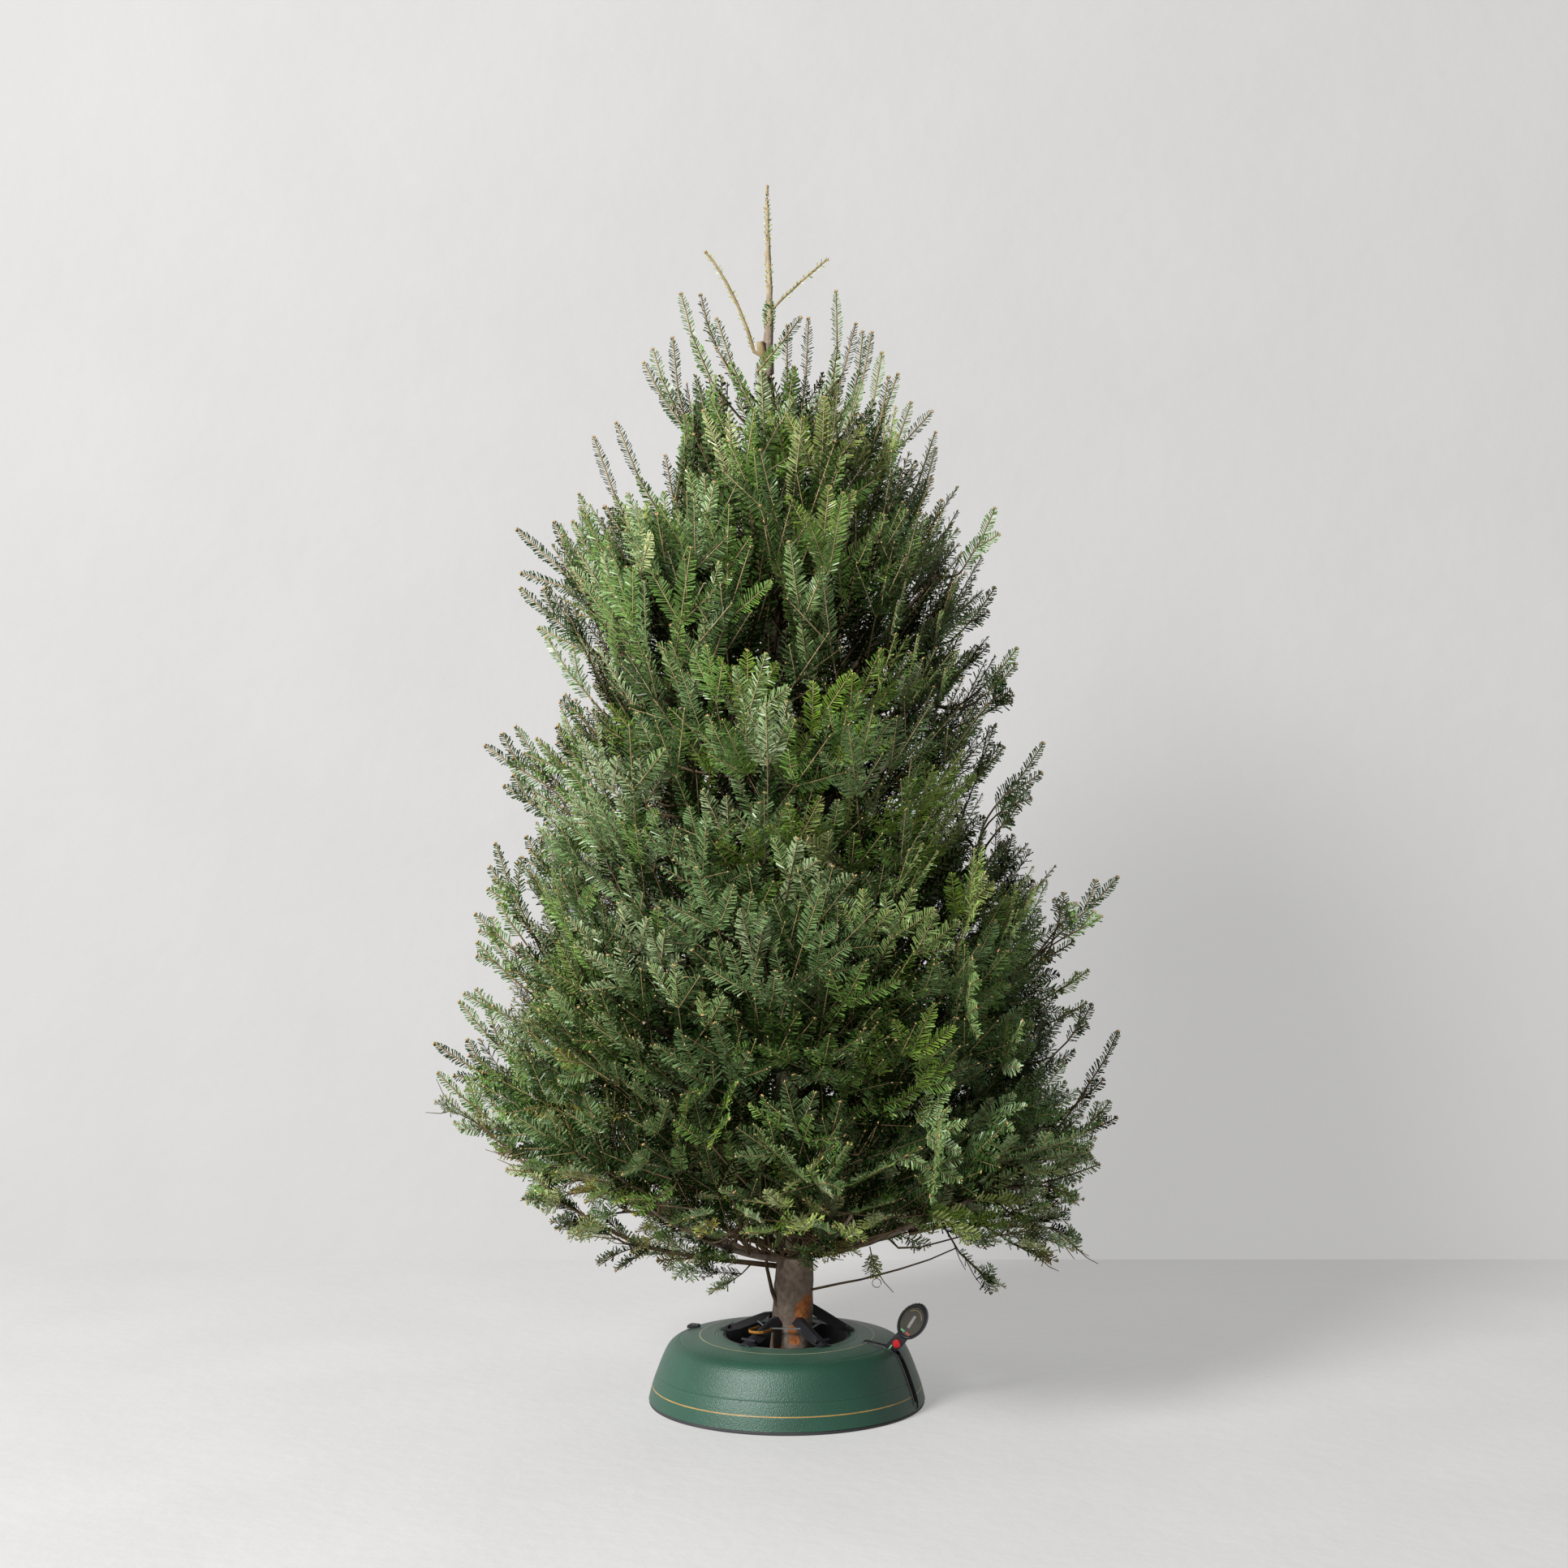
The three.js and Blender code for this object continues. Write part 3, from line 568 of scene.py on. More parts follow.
def near_tint(tint):
    """Mostly the fan's own tint, and now and then a neighbouring one."""
    return tint if dice.random() < OWN_TINT_SHARE else dice.choice(NEXT_TINTS[tint])


# %% [markdown]
# A shoot that would leave the crown turns up and in, and it is cut short where that is not enough. The
# older shoots of a fan are mostly in shade, and its tips end in one bud or in three.

# %% Fans of shoots
# A shoot's tries to stay in the crown: how much it turns up, and the share of its length that it keeps.
TRIES = ((0, 1), (0.45, 1), (0.9, 0.85), (0.3, 0.6))
SHADED_SHARE = 0.62
THREE_BUDS_SHARE = 0.5
OUTER_REACH = 0.72


def next_place(place, direction, length, outward, slack):
    """Where a shoot ends, or None. Near the crown's edge it turns up and in, and then it stays short."""
    for lift, share in TRIES:
        heading = unit(direction + (UP * 1.1 - outward * 0.6) * lift)
        end = place + heading * length * share
        if allowed(end, slack):
            return end
    return None


def grow_fan(start, direction, outward, normal, age, habit, tint, slack):
    """Grows one axis of a fan with its younger side axes, and tells the places along it."""
    places = [start]
    step = habit["shoot"]
    for year in range(age, 0, -1):
        if slack <= 1:
            direction = unit(direction + UP * habit["curl"] * 0.10 + jitter(0.05))
        stretch = dice.uniform(0.82, 1.15) if slack <= 1 else 1.0
        end = next_place(places[-1], direction, step * stretch, outward, slack)
        if end is None:
            break
        direction = unit(end - places[-1])
        shaded = year > 1 and end[2] < SHADE_TOP and dice.random() < SHADED_SHARE
        growth.shoots.append((places[-1], end, normal, "shade" if shaded else tint, habit))
        places.append(end)
        if year > 1:
            side = np.cross(direction, normal)
            for sign in (-1, 1):
                if dice.random() > habit["sides"]:
                    continue
                angle = math.radians(habit["fork"]) * dice.uniform(0.75, 1.15)
                away = unit(direction * math.cos(angle) + side * sign * math.sin(angle) + jitter(0.08))
                younger = dict(habit, shoot=step * dice.uniform(0.72, 0.92))
                own = unit(normal - away * (normal @ away))
                own = turned_about(own, away, dice.uniform(-0.3, 0.3))
                grow_fan(end, away, outward, own, year - 1, younger, near_tint(tint), slack)
    if len(places) > 1:
        young = growth.twigs if habit["outer"] else growth.branches
        young.append((places[-2:], habit["wood"], habit["wood"] * 0.7))
        if len(places) > 2:
            growth.branches.append((places[:-1], habit["wood"] * 0.3 * (2 + len(places)), habit["wood"]))
        tip = places[-1]
        outer = radius_of(tip) > OUTER_REACH * reach(tip[2], azimuth_of(tip))
        buds = 3 if outer and age > 1 and dice.random() < THREE_BUDS_SHARE else 1
        growth.buds.append((tip, unit(tip - places[-2]), normal, buds))
    return places


# %% [markdown]
# Each tier has its own habit. The lowest boughs carry short, level, twiggy fans with gaps between them.
# Higher up the shoots grow longer and steeper, and at the top they stand almost upright, with shorter
# needles.

# %% Habits of the tiers
# Columns: shoot length, rise of the tips in degrees, flatness, fans in a mass, age of a fan, needle spacing,
# needle length, curl towards the light, wood radius, angle of a fork in degrees, share of side shoots that
# grew, share of needles that stand up from the twig, and how far out the outer fans reach.
HABIT_COLUMNS = (
    "shoot", "rise", "flat", "fans", "age", "gap", "needle", "curl", "wood", "fork", "sides", "up", "out",
)
HABITS = [
    (0.084, 22, 0.35, 30, 3, 0.0040, 0.0160, 0.5, 0.0009, 40, 0.90, 0.25, 1.00),
    (0.094, 36, 0.24, 28, 3, 0.0040, 0.0180, 0.8, 0.0010, 38, 0.90, 0.22, 0.98),
    (0.102, 46, 0.18, 25, 3, 0.0041, 0.0190, 0.8, 0.0011, 36, 0.90, 0.20, 0.96),
    (0.114, 52, 0.12, 41, 2, 0.0041, 0.0195, 0.6, 0.0013, 33, 0.92, 0.15, 0.95),
    (0.126, 58, 0.08, 45, 2, 0.0041, 0.0195, 0.5, 0.0014, 30, 0.90, 0.15, 0.94),
    (0.136, 63, 0.06, 29, 2, 0.0041, 0.0190, 0.4, 0.0015, 29, 0.85, 0.20, 0.91),
    (0.132, 66, 0.06, 14, 2, 0.0042, 0.0165, 0.3, 0.0016, 28, 0.70, 0.25, 0.90),
]
NEEDLE_WIDTH = 0.0027
INNER_WIDTH = 0.0046
INNER_GAP = 2.3


def habit_of(index):
    return dict(zip(HABIT_COLUMNS, HABITS[index]), width=NEEDLE_WIDTH, outer=True)


def inner_habit(habit):
    """Shoots inside the crown have fewer and wider needles, because they only close the view."""
    return dict(habit, width=INNER_WIDTH, gap=habit["gap"] * INNER_GAP, up=0, outer=False)


# %% [markdown]
# A branch leaves the root that lies nearest to its fan, with a preference for one that already points its
# way. Fans whose foot would lie too low or too near the trunk are moved out. A few fans show their pale
# lower side.

# %% Branches
BASE_RADIUS_LEAST = 0.05
LOWEST_BASE = 0.300
OUTER_SHARE = 0.86


def curve3(a, b, c, count):
    """Places on the parabola from a by b's pull to c."""
    t = np.linspace(0, 1, count)[:, None]
    return a * (1 - t) ** 2 + b * 2 * t * (1 - t) + c * t ** 2


def grow_branch(limb, target, habit, slack):
    """A branch from a limb to a place in the crown. Its end is a fan."""
    outward = unit(target * np.array((1, 1, 0)) - np.array((axis_at(target[2]), 0, 0)))
    rise = math.radians(habit["rise"] + dice.uniform(-14, 14))
    sideways = np.cross(UP, outward) * dice.uniform(-1, 1) * 0.4
    ending = unit(outward * math.cos(rise) + UP * math.sin(rise) + sideways + jitter(0.06))
    age = habit["age"]
    base = target - ending * age * habit["shoot"]
    if base[2] < LOWEST_BASE:
        base[2] = LOWEST_BASE
        ending = unit(target - base)
    if radius_of(base) < BASE_RADIUS_LEAST:
        base = around(azimuth_of(target), BASE_RADIUS_LEAST, base[2])
        ending = unit(target - base)
    costs = []
    for before, root in zip(limb, limb[1:]):
        away = base - root
        distance = np.linalg.norm(away)
        ahead = away @ unit(root - before) / max(distance, 1e-6)
        costs.append(distance * (1.6 - ahead) * dice.uniform(0.9, 1.2))
    root = limb[1 + int(np.argmin(costs))]
    bend = root + (base - root) * 0.55 - UP * 0.12 * np.linalg.norm(base - root)
    wood = curve3(root, bend, base, 6)
    normal = facing(ending, outward, habit["flat"], dice.uniform(-0.45, 0.45))
    if dice.random() < 0.12 + 0.3 * near(target, BLUE_PLACE, 0.8, 0.35):
        normal = -normal
    outer = slack > OUTER_SHARE * habit["out"]
    tint = pick_tint(target, outer)
    fan_habit = habit if outer else inner_habit(habit)
    grown = grow_fan(wood[-1], ending, outward, normal, age, fan_habit, tint, slack)
    if len(grown) > 1:
        growth.branches.append((list(wood), 0.0028, habit["wood"] * 1.4))


# %% [markdown]
# The limbs come first. A bough starts inside the trunk and a mass's stem carries on from its tip, or from
# the trunk where the tier has no free bough. Then each mass sends branches to its share of places: the
# frame's own sprays, and many more spread over the face by the golden ratio, which never lines them up. A
# third of them end deeper in the crown, so that it looks full between the outer fans.

# %% Limbs of each mass
GOLDEN = 0.618034
DEPTHS = (0.94, 0.78, 0.88, 0.60, 0.91, 0.45)
limbs = []


def spray_plan(space, draw):
    """The frame's own places across and up a mass."""
    plan = []
    tier = TIERS[space["tier"]]
    for row in range(tier["up"]):
        for column in range(tier["across"]):
            shift = -0.12 if row % 2 == 0 else 0.12
            a = (column + 0.5 + shift + 0.3 * (draw() - 0.5)) / tier["across"]
            u = (row + 0.5 + 0.35 * (draw() - 0.5)) / tier["up"]
            depth = 0.97 - 0.05 * draw()
            plan.append((0.07 + 0.86 * a, 0.12 + 0.78 * u, depth))
    return plan


def grow_mass(index, i):
    """A tier's limb number i, and the branches of the mass on it."""
    tier = TIERS[index]
    half = math.pi / tier["masses"]
    draw = seeded(SEED + 100 * index + i)
    middle = math.radians(tier["turn"]) + 2 * half * i
    space = dict(tier=index, middle=middle, half=half)
    root = tier["root"] + 0.022 * draw()
    outward = np.array((math.cos(middle), math.sin(middle), 0.0))
    heading = unit(outward + UP * tier["rise"])
    start = around(middle, 0, root)
    limb = [start]
    if "bough" in tier:
        reach_out = tier["bough"]
        tip = around(middle, reach_out, root + tier["rise"] * reach_out)
        sag = around(middle, reach_out * 0.5, root + tier["rise"] * reach_out * 0.36)
        bough = curve3(start, 2 * sag - (start + tip) / 2, tip, 9)
        heading = unit(bough[-1] - bough[-2])
        limb = list(bough)
        start = tip
    end = crown_place(space, 0.5, 0.55, 0.72)
    if end[2] > STEM_CREST:
        end = around(middle, radius_of(end), STEM_CREST)
    bend = start + heading * np.linalg.norm(start - end) * 0.5
    limb += list(curve3(start, bend, end, 9)[1:])
    limbs.append(limb)
    habit = habit_of(index)
    out = habit["out"]
    targets = [(crown_place(space, a, u, d * out), 0.98 * out) for a, u, d in spray_plan(space, draw)]
    for k in range(habit["fans"]):
        across = 0.02 + 0.96 * ((k * GOLDEN + dice.uniform(-0.03, 0.03)) % 1)
        up = 0.04 + 0.94 * (k + 0.5) / habit["fans"]
        slack = out * DEPTHS[k % len(DEPTHS)] + 0.03 * dice.random()
        targets.append((crown_place(space, across, up, slack - 0.02), slack))
    for target, slack in targets:
        if target[2] < CREST_HEIGHT:
            grow_branch(limb, target, habit, slack)


for index, tier in enumerate(TIERS):
    for i in range(tier["masses"]):
        grow_mass(index, i)
print(len(growth.shoots), "needled shoots,", len(growth.twigs), "twigs,", len(growth.buds), "tips")

# %% [markdown]
# Under the crown the trunk is bare, and the wall shows between it and the lowest boughs. These leave the
# trunk almost level, sweep out and turn up, with short sprays on both sides. Some old twigs there have no
# needles at all, and one has a small curl. They are listed by their places, as measured on the
# photograph. A fringe of level sprays closes the crown's underside above them.

# %% Low boughs and twigs
# Each bough has its places, its radii at root and tip, and the share of its length that stays bare.
LOW_BOUGHS = [
    ([(-0.016, 0.000, 0.229), (-0.090, -0.020, 0.241), (-0.153, -0.030, 0.250), (-0.244, -0.040, 0.270),
      (-0.327, -0.050, 0.312), (-0.393, -0.050, 0.358), (-0.452, -0.050, 0.420), (-0.514, -0.040, 0.470),
      (-0.578, -0.030, 0.515)], 0.0054, 0.0014, 0.10),
    ([(0.205, -0.054, 0.294), (0.271, -0.055, 0.310), (0.374, -0.060, 0.308), (0.449, -0.060, 0.304),
      (0.486, -0.060, 0.272)], 0.0050, 0.0014, 0.12),
    ([(0.262, -0.050, 0.310), (0.291, -0.060, 0.262), (0.325, -0.070, 0.233), (0.345, -0.070, 0.210)],
     0.0020, 0.0012, 0.25),
    ([(-0.010, -0.060, 0.345), (0.025, -0.110, 0.325), (0.075, -0.150, 0.305)], 0.0020, 0.0010, 0.05),
    ([(0.262, -0.050, 0.310), (0.330, -0.120, 0.300), (0.400, -0.160, 0.318)], 0.0022, 0.0012, 0.05),
    ([(0.330, -0.055, 0.309), (0.380, -0.110, 0.285), (0.420, -0.130, 0.268)], 0.0020, 0.0010, 0.05),
    ([(0.400, -0.060, 0.306), (0.430, -0.020, 0.335), (0.470, 0.000, 0.352)], 0.0020, 0.0010, 0.05),
    ([(-0.244, -0.040, 0.270), (-0.270, -0.100, 0.285), (-0.330, -0.140, 0.330)], 0.0020, 0.0010, 0.05),
    ([(0.140, -0.034, 0.268), (0.144, -0.045, 0.250), (0.148, -0.050, 0.232)], 0.0014, 0.0010, 0.20),
    ([(-0.060, -0.014, 0.236), (-0.076, -0.040, 0.224), (-0.104, -0.050, 0.206)], 0.0016, 0.0010, 0.30),
    ([(0.000, 0.020, 0.250), (-0.100, 0.150, 0.262), (-0.200, 0.280, 0.290), (-0.270, 0.400, 0.340),
      (-0.300, 0.470, 0.400)], 0.0060, 0.0016, 0.25),
    ([(0.020, 0.020, 0.250), (0.120, 0.150, 0.262), (0.220, 0.280, 0.285), (0.300, 0.380, 0.330),
      (0.340, 0.430, 0.380)], 0.0060, 0.0016, 0.25),
    ([(0.010, 0.020, 0.260), (0.010, 0.200, 0.270), (0.000, 0.380, 0.310), (-0.010, 0.480, 0.370)],
     0.0060, 0.0016, 0.30),
    ([(-0.020, 0.010, 0.262), (-0.160, 0.090, 0.276), (-0.300, 0.140, 0.320), (-0.400, 0.170, 0.380)],
     0.0050, 0.0016, 0.35),
    ([(0.020, 0.010, 0.262), (0.160, 0.080, 0.270), (0.300, 0.140, 0.310), (0.410, 0.170, 0.370)],
     0.0050, 0.0016, 0.35),
]
# Each bare twig has its places and its radii.
LOW_TWIGS = [
    ([(0.042, -0.012, 0.191), (0.088, -0.022, 0.203), (0.125, -0.032, 0.212), (0.190, -0.045, 0.232),
      (0.240, -0.054, 0.250), (0.283, -0.060, 0.270)], 0.0026, 0.0013),
    ([(-0.016, -0.016, 0.163), (-0.026, -0.019, 0.190), (-0.035, -0.022, 0.231), (-0.039, -0.026, 0.300)],
     0.0046, 0.0032),
    ([(-0.010, -0.018, 0.274), (-0.030, -0.024, 0.268), (-0.046, -0.028, 0.258)], 0.0038, 0.0030),
    ([(0.040, -0.020, 0.275), (0.066, -0.030, 0.281), (0.084, -0.036, 0.295)], 0.0016, 0.0010),
    ([(0.175, -0.040, 0.280), (0.188, -0.050, 0.269), (0.225, -0.050, 0.270), (0.308, -0.045, 0.291)],
     0.0024, 0.0014),
    ([(0.236, -0.050, 0.316), (0.290, -0.055, 0.330), (0.350, -0.050, 0.360)], 0.0040, 0.0022),
]
CURL_CENTRE = (0.152, -0.036, 0.2065)
CURL_RADIUS = 0.0075
SPRAY_STEP = 0.017
DEAD_SHARE = 0.25
FRINGE_SPRAYS = 70
SKIRT_LIMBS = TIERS[0]["masses"]


def nearest(places, goal):
    return min(places, key=lambda place: np.linalg.norm(place - goal))


def walk(places, step):
    """Places at equal steps along a bent line, each with the heading there and its share of the way."""
    places = np.array(places)
    lengths = np.linalg.norm(np.diff(places, axis=0), axis=1)
    passed = np.concatenate([[0], np.cumsum(lengths)])
    for d in np.arange(step, passed[-1], step):
        i = min(int(np.searchsorted(passed, d)), len(lengths)) - 1
        ahead = places[i + 1] - places[i]
        yield places[i] + ahead * ((d - passed[i]) / lengths[i]), unit(ahead), d / passed[-1]


def dress_bough(places, bare):
    """Short sprays by turns on both sides of a low bough, some dead twigs, and one spray at its end."""
    habit = dict(habit_of(0), shoot=0.040, up=0.6)
    sign = 1
    for place, heading, share in walk(places, SPRAY_STEP):
        if share < bare:
            continue
        sign = -sign
        side = np.cross(UP, heading) * sign
        away = unit(heading * 0.8 + side * dice.uniform(0.2, 0.8) + UP * dice.uniform(-0.5, 0.5))
        outward = unit(place * np.array((1, 1, 0)))
        if dice.random() < DEAD_SHARE:
            dead = [place, place + away * 0.03 - UP * 0.004, place + away * 0.055]
            growth.branches.append((dead, 0.0011, 0.0006))
            continue
        tint = dice.choice(("mid", "mid", "olive", "pale", "blue", "deep"))
        normal = facing(away, outward, 0.7, dice.uniform(-0.9, 0.9))
        grow_fan(place, away, outward, normal, dice.choice((1, 2, 2)), habit, tint, FREE)
    end = np.array(places[-1])
    heading = unit(end - np.array(places[-2]))
    normal = facing(heading, heading, 0.9, 0)
    grow_fan(end - heading * 0.03, heading, heading, normal, 1, habit, "pale", FREE)


def add_fringe(k):
    """A level spray under the crown's lowest fans, on a thin twig from the nearest limb."""
    azimuth = 2 * math.pi * k * GOLDEN
    radius = 0.10 + 0.32 * ((k + 0.5) / FRINGE_SPRAYS) ** 0.6
    place = around(azimuth, radius, 0.0)
    place[2] = underside_at(place) + dice.uniform(-0.022, 0.012)
    outward = unit(place * np.array((1, 1, 0)))
    heading = unit(outward + jitter(0.7) * np.array((1, 1, 0)) + UP * dice.uniform(-0.3, 0.3))
    habit = dict(habit_of(0), shoot=dice.uniform(0.035, 0.055), up=0.6)
    tint = dice.choice(("mid", "mid", "olive", "pale", "fresh", "blue"))
    normal = facing(heading, outward, 0.8, dice.uniform(-0.7, 0.7))
    grow_fan(place, heading, outward, normal, 2, habit, tint, FREE)
    root = nearest([p for limb in limbs[:SKIRT_LIMBS + TIERS[1]["masses"]] for p in limb[2:]], place)
    bend = (root + place) / 2 + jitter(0.012)
    growth.branches.append((list(curve3(root, bend, place, 5)), 0.0016, 0.0011))


for limb in limbs[:SKIRT_LIMBS]:
    dress_bough(limb[:12], 0.45)
for k in range(FRINGE_SPRAYS):
    add_fringe(k)
for places, thick, thin, bare in LOW_BOUGHS:
    growth.branches.append(([np.array(p) for p in places], thick, thin))
    dress_bough(places, bare)
for places, thick, thin in LOW_TWIGS:
    growth.branches.append(([np.array(p) for p in places], thick, thin))
turns = np.linspace(-0.3, 5.6, 16)
curl = [
    np.array(CURL_CENTRE) + CURL_RADIUS * np.array((math.cos(t), 0.3 * math.sin(t / 2), math.sin(t)))
    for t in turns
]
growth.branches.append((curl, 0.0008, 0.0006))
print("low boughs and twigs:", len(LOW_BOUGHS) + len(LOW_TWIGS))

# %% [markdown]
# The outline is what one sees first against the pale wall. Its longest shoots stand clear of the crown,
# so each is listed with its tip and its foot. It is one long shoot, often with a side shoot or two, on a
# thin branch from the nearest lower limb.

# %% Shoots along the outline
# Each row has the tip's place across and up, and the foot's.
OUTLINE = [
    (-0.456, 1.482, -0.275, 1.333), (-0.363, 1.497, -0.266, 1.345), (-0.358, 1.551, -0.263, 1.350),
    (-0.378, 1.471, -0.289, 1.362), (-0.456, 1.386, -0.346, 1.294), (-0.411, 1.389, -0.334, 1.283),
    (-0.371, 1.361, -0.283, 1.317), (-0.428, 1.321, -0.346, 1.283), (-0.408, 1.300, -0.334, 1.198),
    (-0.374, 1.201, -0.334, 1.147), (-0.382, 1.178, -0.334, 1.085), (-0.469, 1.150, -0.385, 1.039),
    (-0.517, 1.117, -0.414, 1.051), (-0.464, 1.063, -0.385, 1.011), (-0.480, 1.048, -0.402, 1.000),
    (-0.445, 1.097, -0.375, 1.020), (-0.430, 1.129, -0.334, 1.030), (-0.388, 1.147, -0.346, 1.080),
    (-0.496, 0.949, -0.436, 0.802), (-0.498, 0.888, -0.453, 0.824), (-0.445, 0.960, -0.402, 0.892),
    (-0.436, 0.938, -0.357, 0.864), (-0.463, 0.915, -0.380, 0.853), (-0.490, 0.847, -0.453, 0.790),
    (-0.525, 0.831, -0.464, 0.774), (-0.524, 0.782, -0.459, 0.717), (-0.504, 0.793, -0.442, 0.711),
    (-0.555, 0.690, -0.476, 0.649), (-0.566, 0.674, -0.456, 0.557), (-0.601, 0.608, -0.464, 0.528),
    (-0.599, 0.554, -0.514, 0.478), (-0.541, 0.587, -0.464, 0.545), (-0.502, 0.428, -0.452, 0.404),
    (-0.483, 0.385, -0.427, 0.379), (-0.445, 0.347, -0.410, 0.372), (-0.412, 0.338, -0.369, 0.354),
    (-0.365, 0.297, -0.319, 0.312), (-0.267, 0.245, -0.227, 0.270),
    (0.352, 1.518, 0.297, 1.415), (0.356, 1.388, 0.300, 1.315), (0.342, 1.287, 0.305, 1.253),
    (0.388, 1.280, 0.328, 1.214), (0.385, 1.253, 0.334, 1.203), (0.369, 1.227, 0.334, 1.175),
    (0.386, 1.203, 0.342, 1.175), (0.434, 1.120, 0.353, 1.014), (0.374, 1.114, 0.303, 1.041),
    (0.414, 1.046, 0.356, 0.997), (0.392, 1.014, 0.361, 0.975), (0.390, 0.962, 0.361, 0.886),
    (0.423, 0.884, 0.367, 0.841), (0.467, 0.866, 0.456, 0.813), (0.487, 0.849, 0.456, 0.808),
    (0.566, 0.891, 0.462, 0.791), (0.531, 0.827, 0.467, 0.791), (0.487, 0.783, 0.434, 0.752),
    (0.514, 0.732, 0.462, 0.696), (0.503, 0.682, 0.462, 0.658), (0.520, 0.674, 0.478, 0.611),
    (0.562, 0.630, 0.512, 0.541), (0.543, 0.543, 0.499, 0.503), (0.553, 0.505, 0.516, 0.466),
    (0.570, 0.473, 0.495, 0.441), (0.534, 0.399, 0.478, 0.379), (0.487, 0.358, 0.449, 0.370),
    (0.466, 0.331, 0.430, 0.345),
]
SIDE_SHOOT_SHARE = 0.6
SHOOT_FLOORS = [level + 0.8 * slope for level, slope in TIER_FLOORS[1:]]


def add_tip_buds(before, tip):
    """The three buds at the end of a shoot, side by side as the viewer sees them."""
    growth.buds.append((tip, unit(tip - before), np.array((0, -1.0, 0)), 3))


def grow_long_shoot(foot, tip, normal, outward, foot_habit, tip_habit, foot_tint, tip_tint):
    """A long shoot of two years: full at its foot, thinner towards its bud."""
    places = curve3(foot, (foot + tip) / 2 + outward * 0.08 * np.linalg.norm(tip - foot), tip, 3)
    growth.shoots.append((places[0], places[1], normal, foot_tint, foot_habit))
    growth.shoots.append((places[1], places[2], normal, tip_tint, tip_habit))
    growth.twigs.append((list(places), foot_habit["wood"] * 1.4, foot_habit["wood"]))
    add_tip_buds(places[-2], tip)


for tip_across, tip_height, foot_across, foot_height in OUTLINE:
    front = dice.uniform(-0.06, 0.06)
    tip = np.array((tip_across, front, tip_height))
    foot = np.array((foot_across, front, foot_height))
    outward = np.array((math.copysign(1.0, tip_across), 0.0, 0.0))
    tier = next(i for i, floor in enumerate(SHOOT_FLOORS) if foot_height < floor)
    full = dict(habit_of(tier), wood=0.0013, up=0.15)
    thin = dict(full, needle=0.0125)
    heading = unit(tip - foot)
    normal = facing(heading, np.array((0.4 * outward[0], -1.0, 0.3)), 0.1, dice.uniform(-0.8, 0.8))
    tint = pick_tint(tip, True)
    grow_long_shoot(foot, tip, normal, outward, full, thin, near_tint(tint), tint)
    side = np.cross(heading, normal)
    for sign in (-1, 1):
        if dice.random() < SIDE_SHOOT_SHARE:
            start = foot + (tip - foot) * dice.uniform(0.15, 0.5)
            away = unit(heading + side * sign * dice.uniform(0.35, 0.6))
            end = start + away * dice.uniform(0.35, 0.6) * np.linalg.norm(tip - foot)
            grow_long_shoot(start, end, normal, outward, full, thin, near_tint(tint), tint)
    root = nearest([place for limb in limbs for place in limb[2:] if place[2] < foot_height], foot)
    bend = foot - heading * 0.4 * np.linalg.norm(foot - root)
    growth.branches.append((list(curve3(root, bend, foot, 6)), 0.0030, 0.0017))
print(len(OUTLINE), "shoots along the outline")

# %% [markdown]
# ## The bare leader
#
# The top shoot of a cut fir is often bare. Here it is a tan pole with small knobs and a few short
# needles, a green tuft where it leaves the crown, the stub of a cut branch, and two thin side shoots. The
# needles are the same combs as elsewhere, only shorter and further apart.

# %% Leader
SIDE_SHOOTS = [
    [(-0.033, 0, 1.778), (-0.056, -0.004, 1.790), (-0.0655, -0.006, 1.821), (-0.083, -0.004, 1.867),
     (-0.104, -0.002, 1.909), (-0.124, 0, 1.942), (-0.138, 0, 1.959)],
    [(-0.029, -0.001, 1.858), (-0.012, -0.004, 1.876), (0.008, -0.006, 1.894), (0.025, -0.007, 1.910),
     (0.046, -0.008, 1.927), (0.067, -0.008, 1.945)],
]
SIDE_RADII = [(0.0034, 0.0018), (0.0024, 0.0014)]
SPARSE = dict(habit_of(6), gap=0.008, needle=0.0090, width=0.0019, up=0)
TUFT = dict(habit_of(6), gap=0.0032, needle=0.0140, width=0.0021)


def needle_ring(a, b, habit, tint, facings=3):
    """Needles all round a straight piece of wood."""
    away = unit(np.cross(b - a, (0.3, 0.8, 0.1)))
    for k in range(facings):
        normal = turned_about(away, unit(b - a), math.pi * k / facings)
        growth.shoots.append((a, b, normal, tint, habit))


def on_axis(height):
    return np.array((axis_at(height), 0.0, height))


def knob(place, heading):
    growth.buds.append((place, unit(np.array(heading)), np.cross(heading, (0.2, 0.9, 0.1)), 1))


# %% [markdown]
# Round the leader's foot the photograph shows single shoots with wall between them. They are listed like
# the outline's, and each has a thin branch from the trunk. A few more stand in front of the trunk and
# behind it.

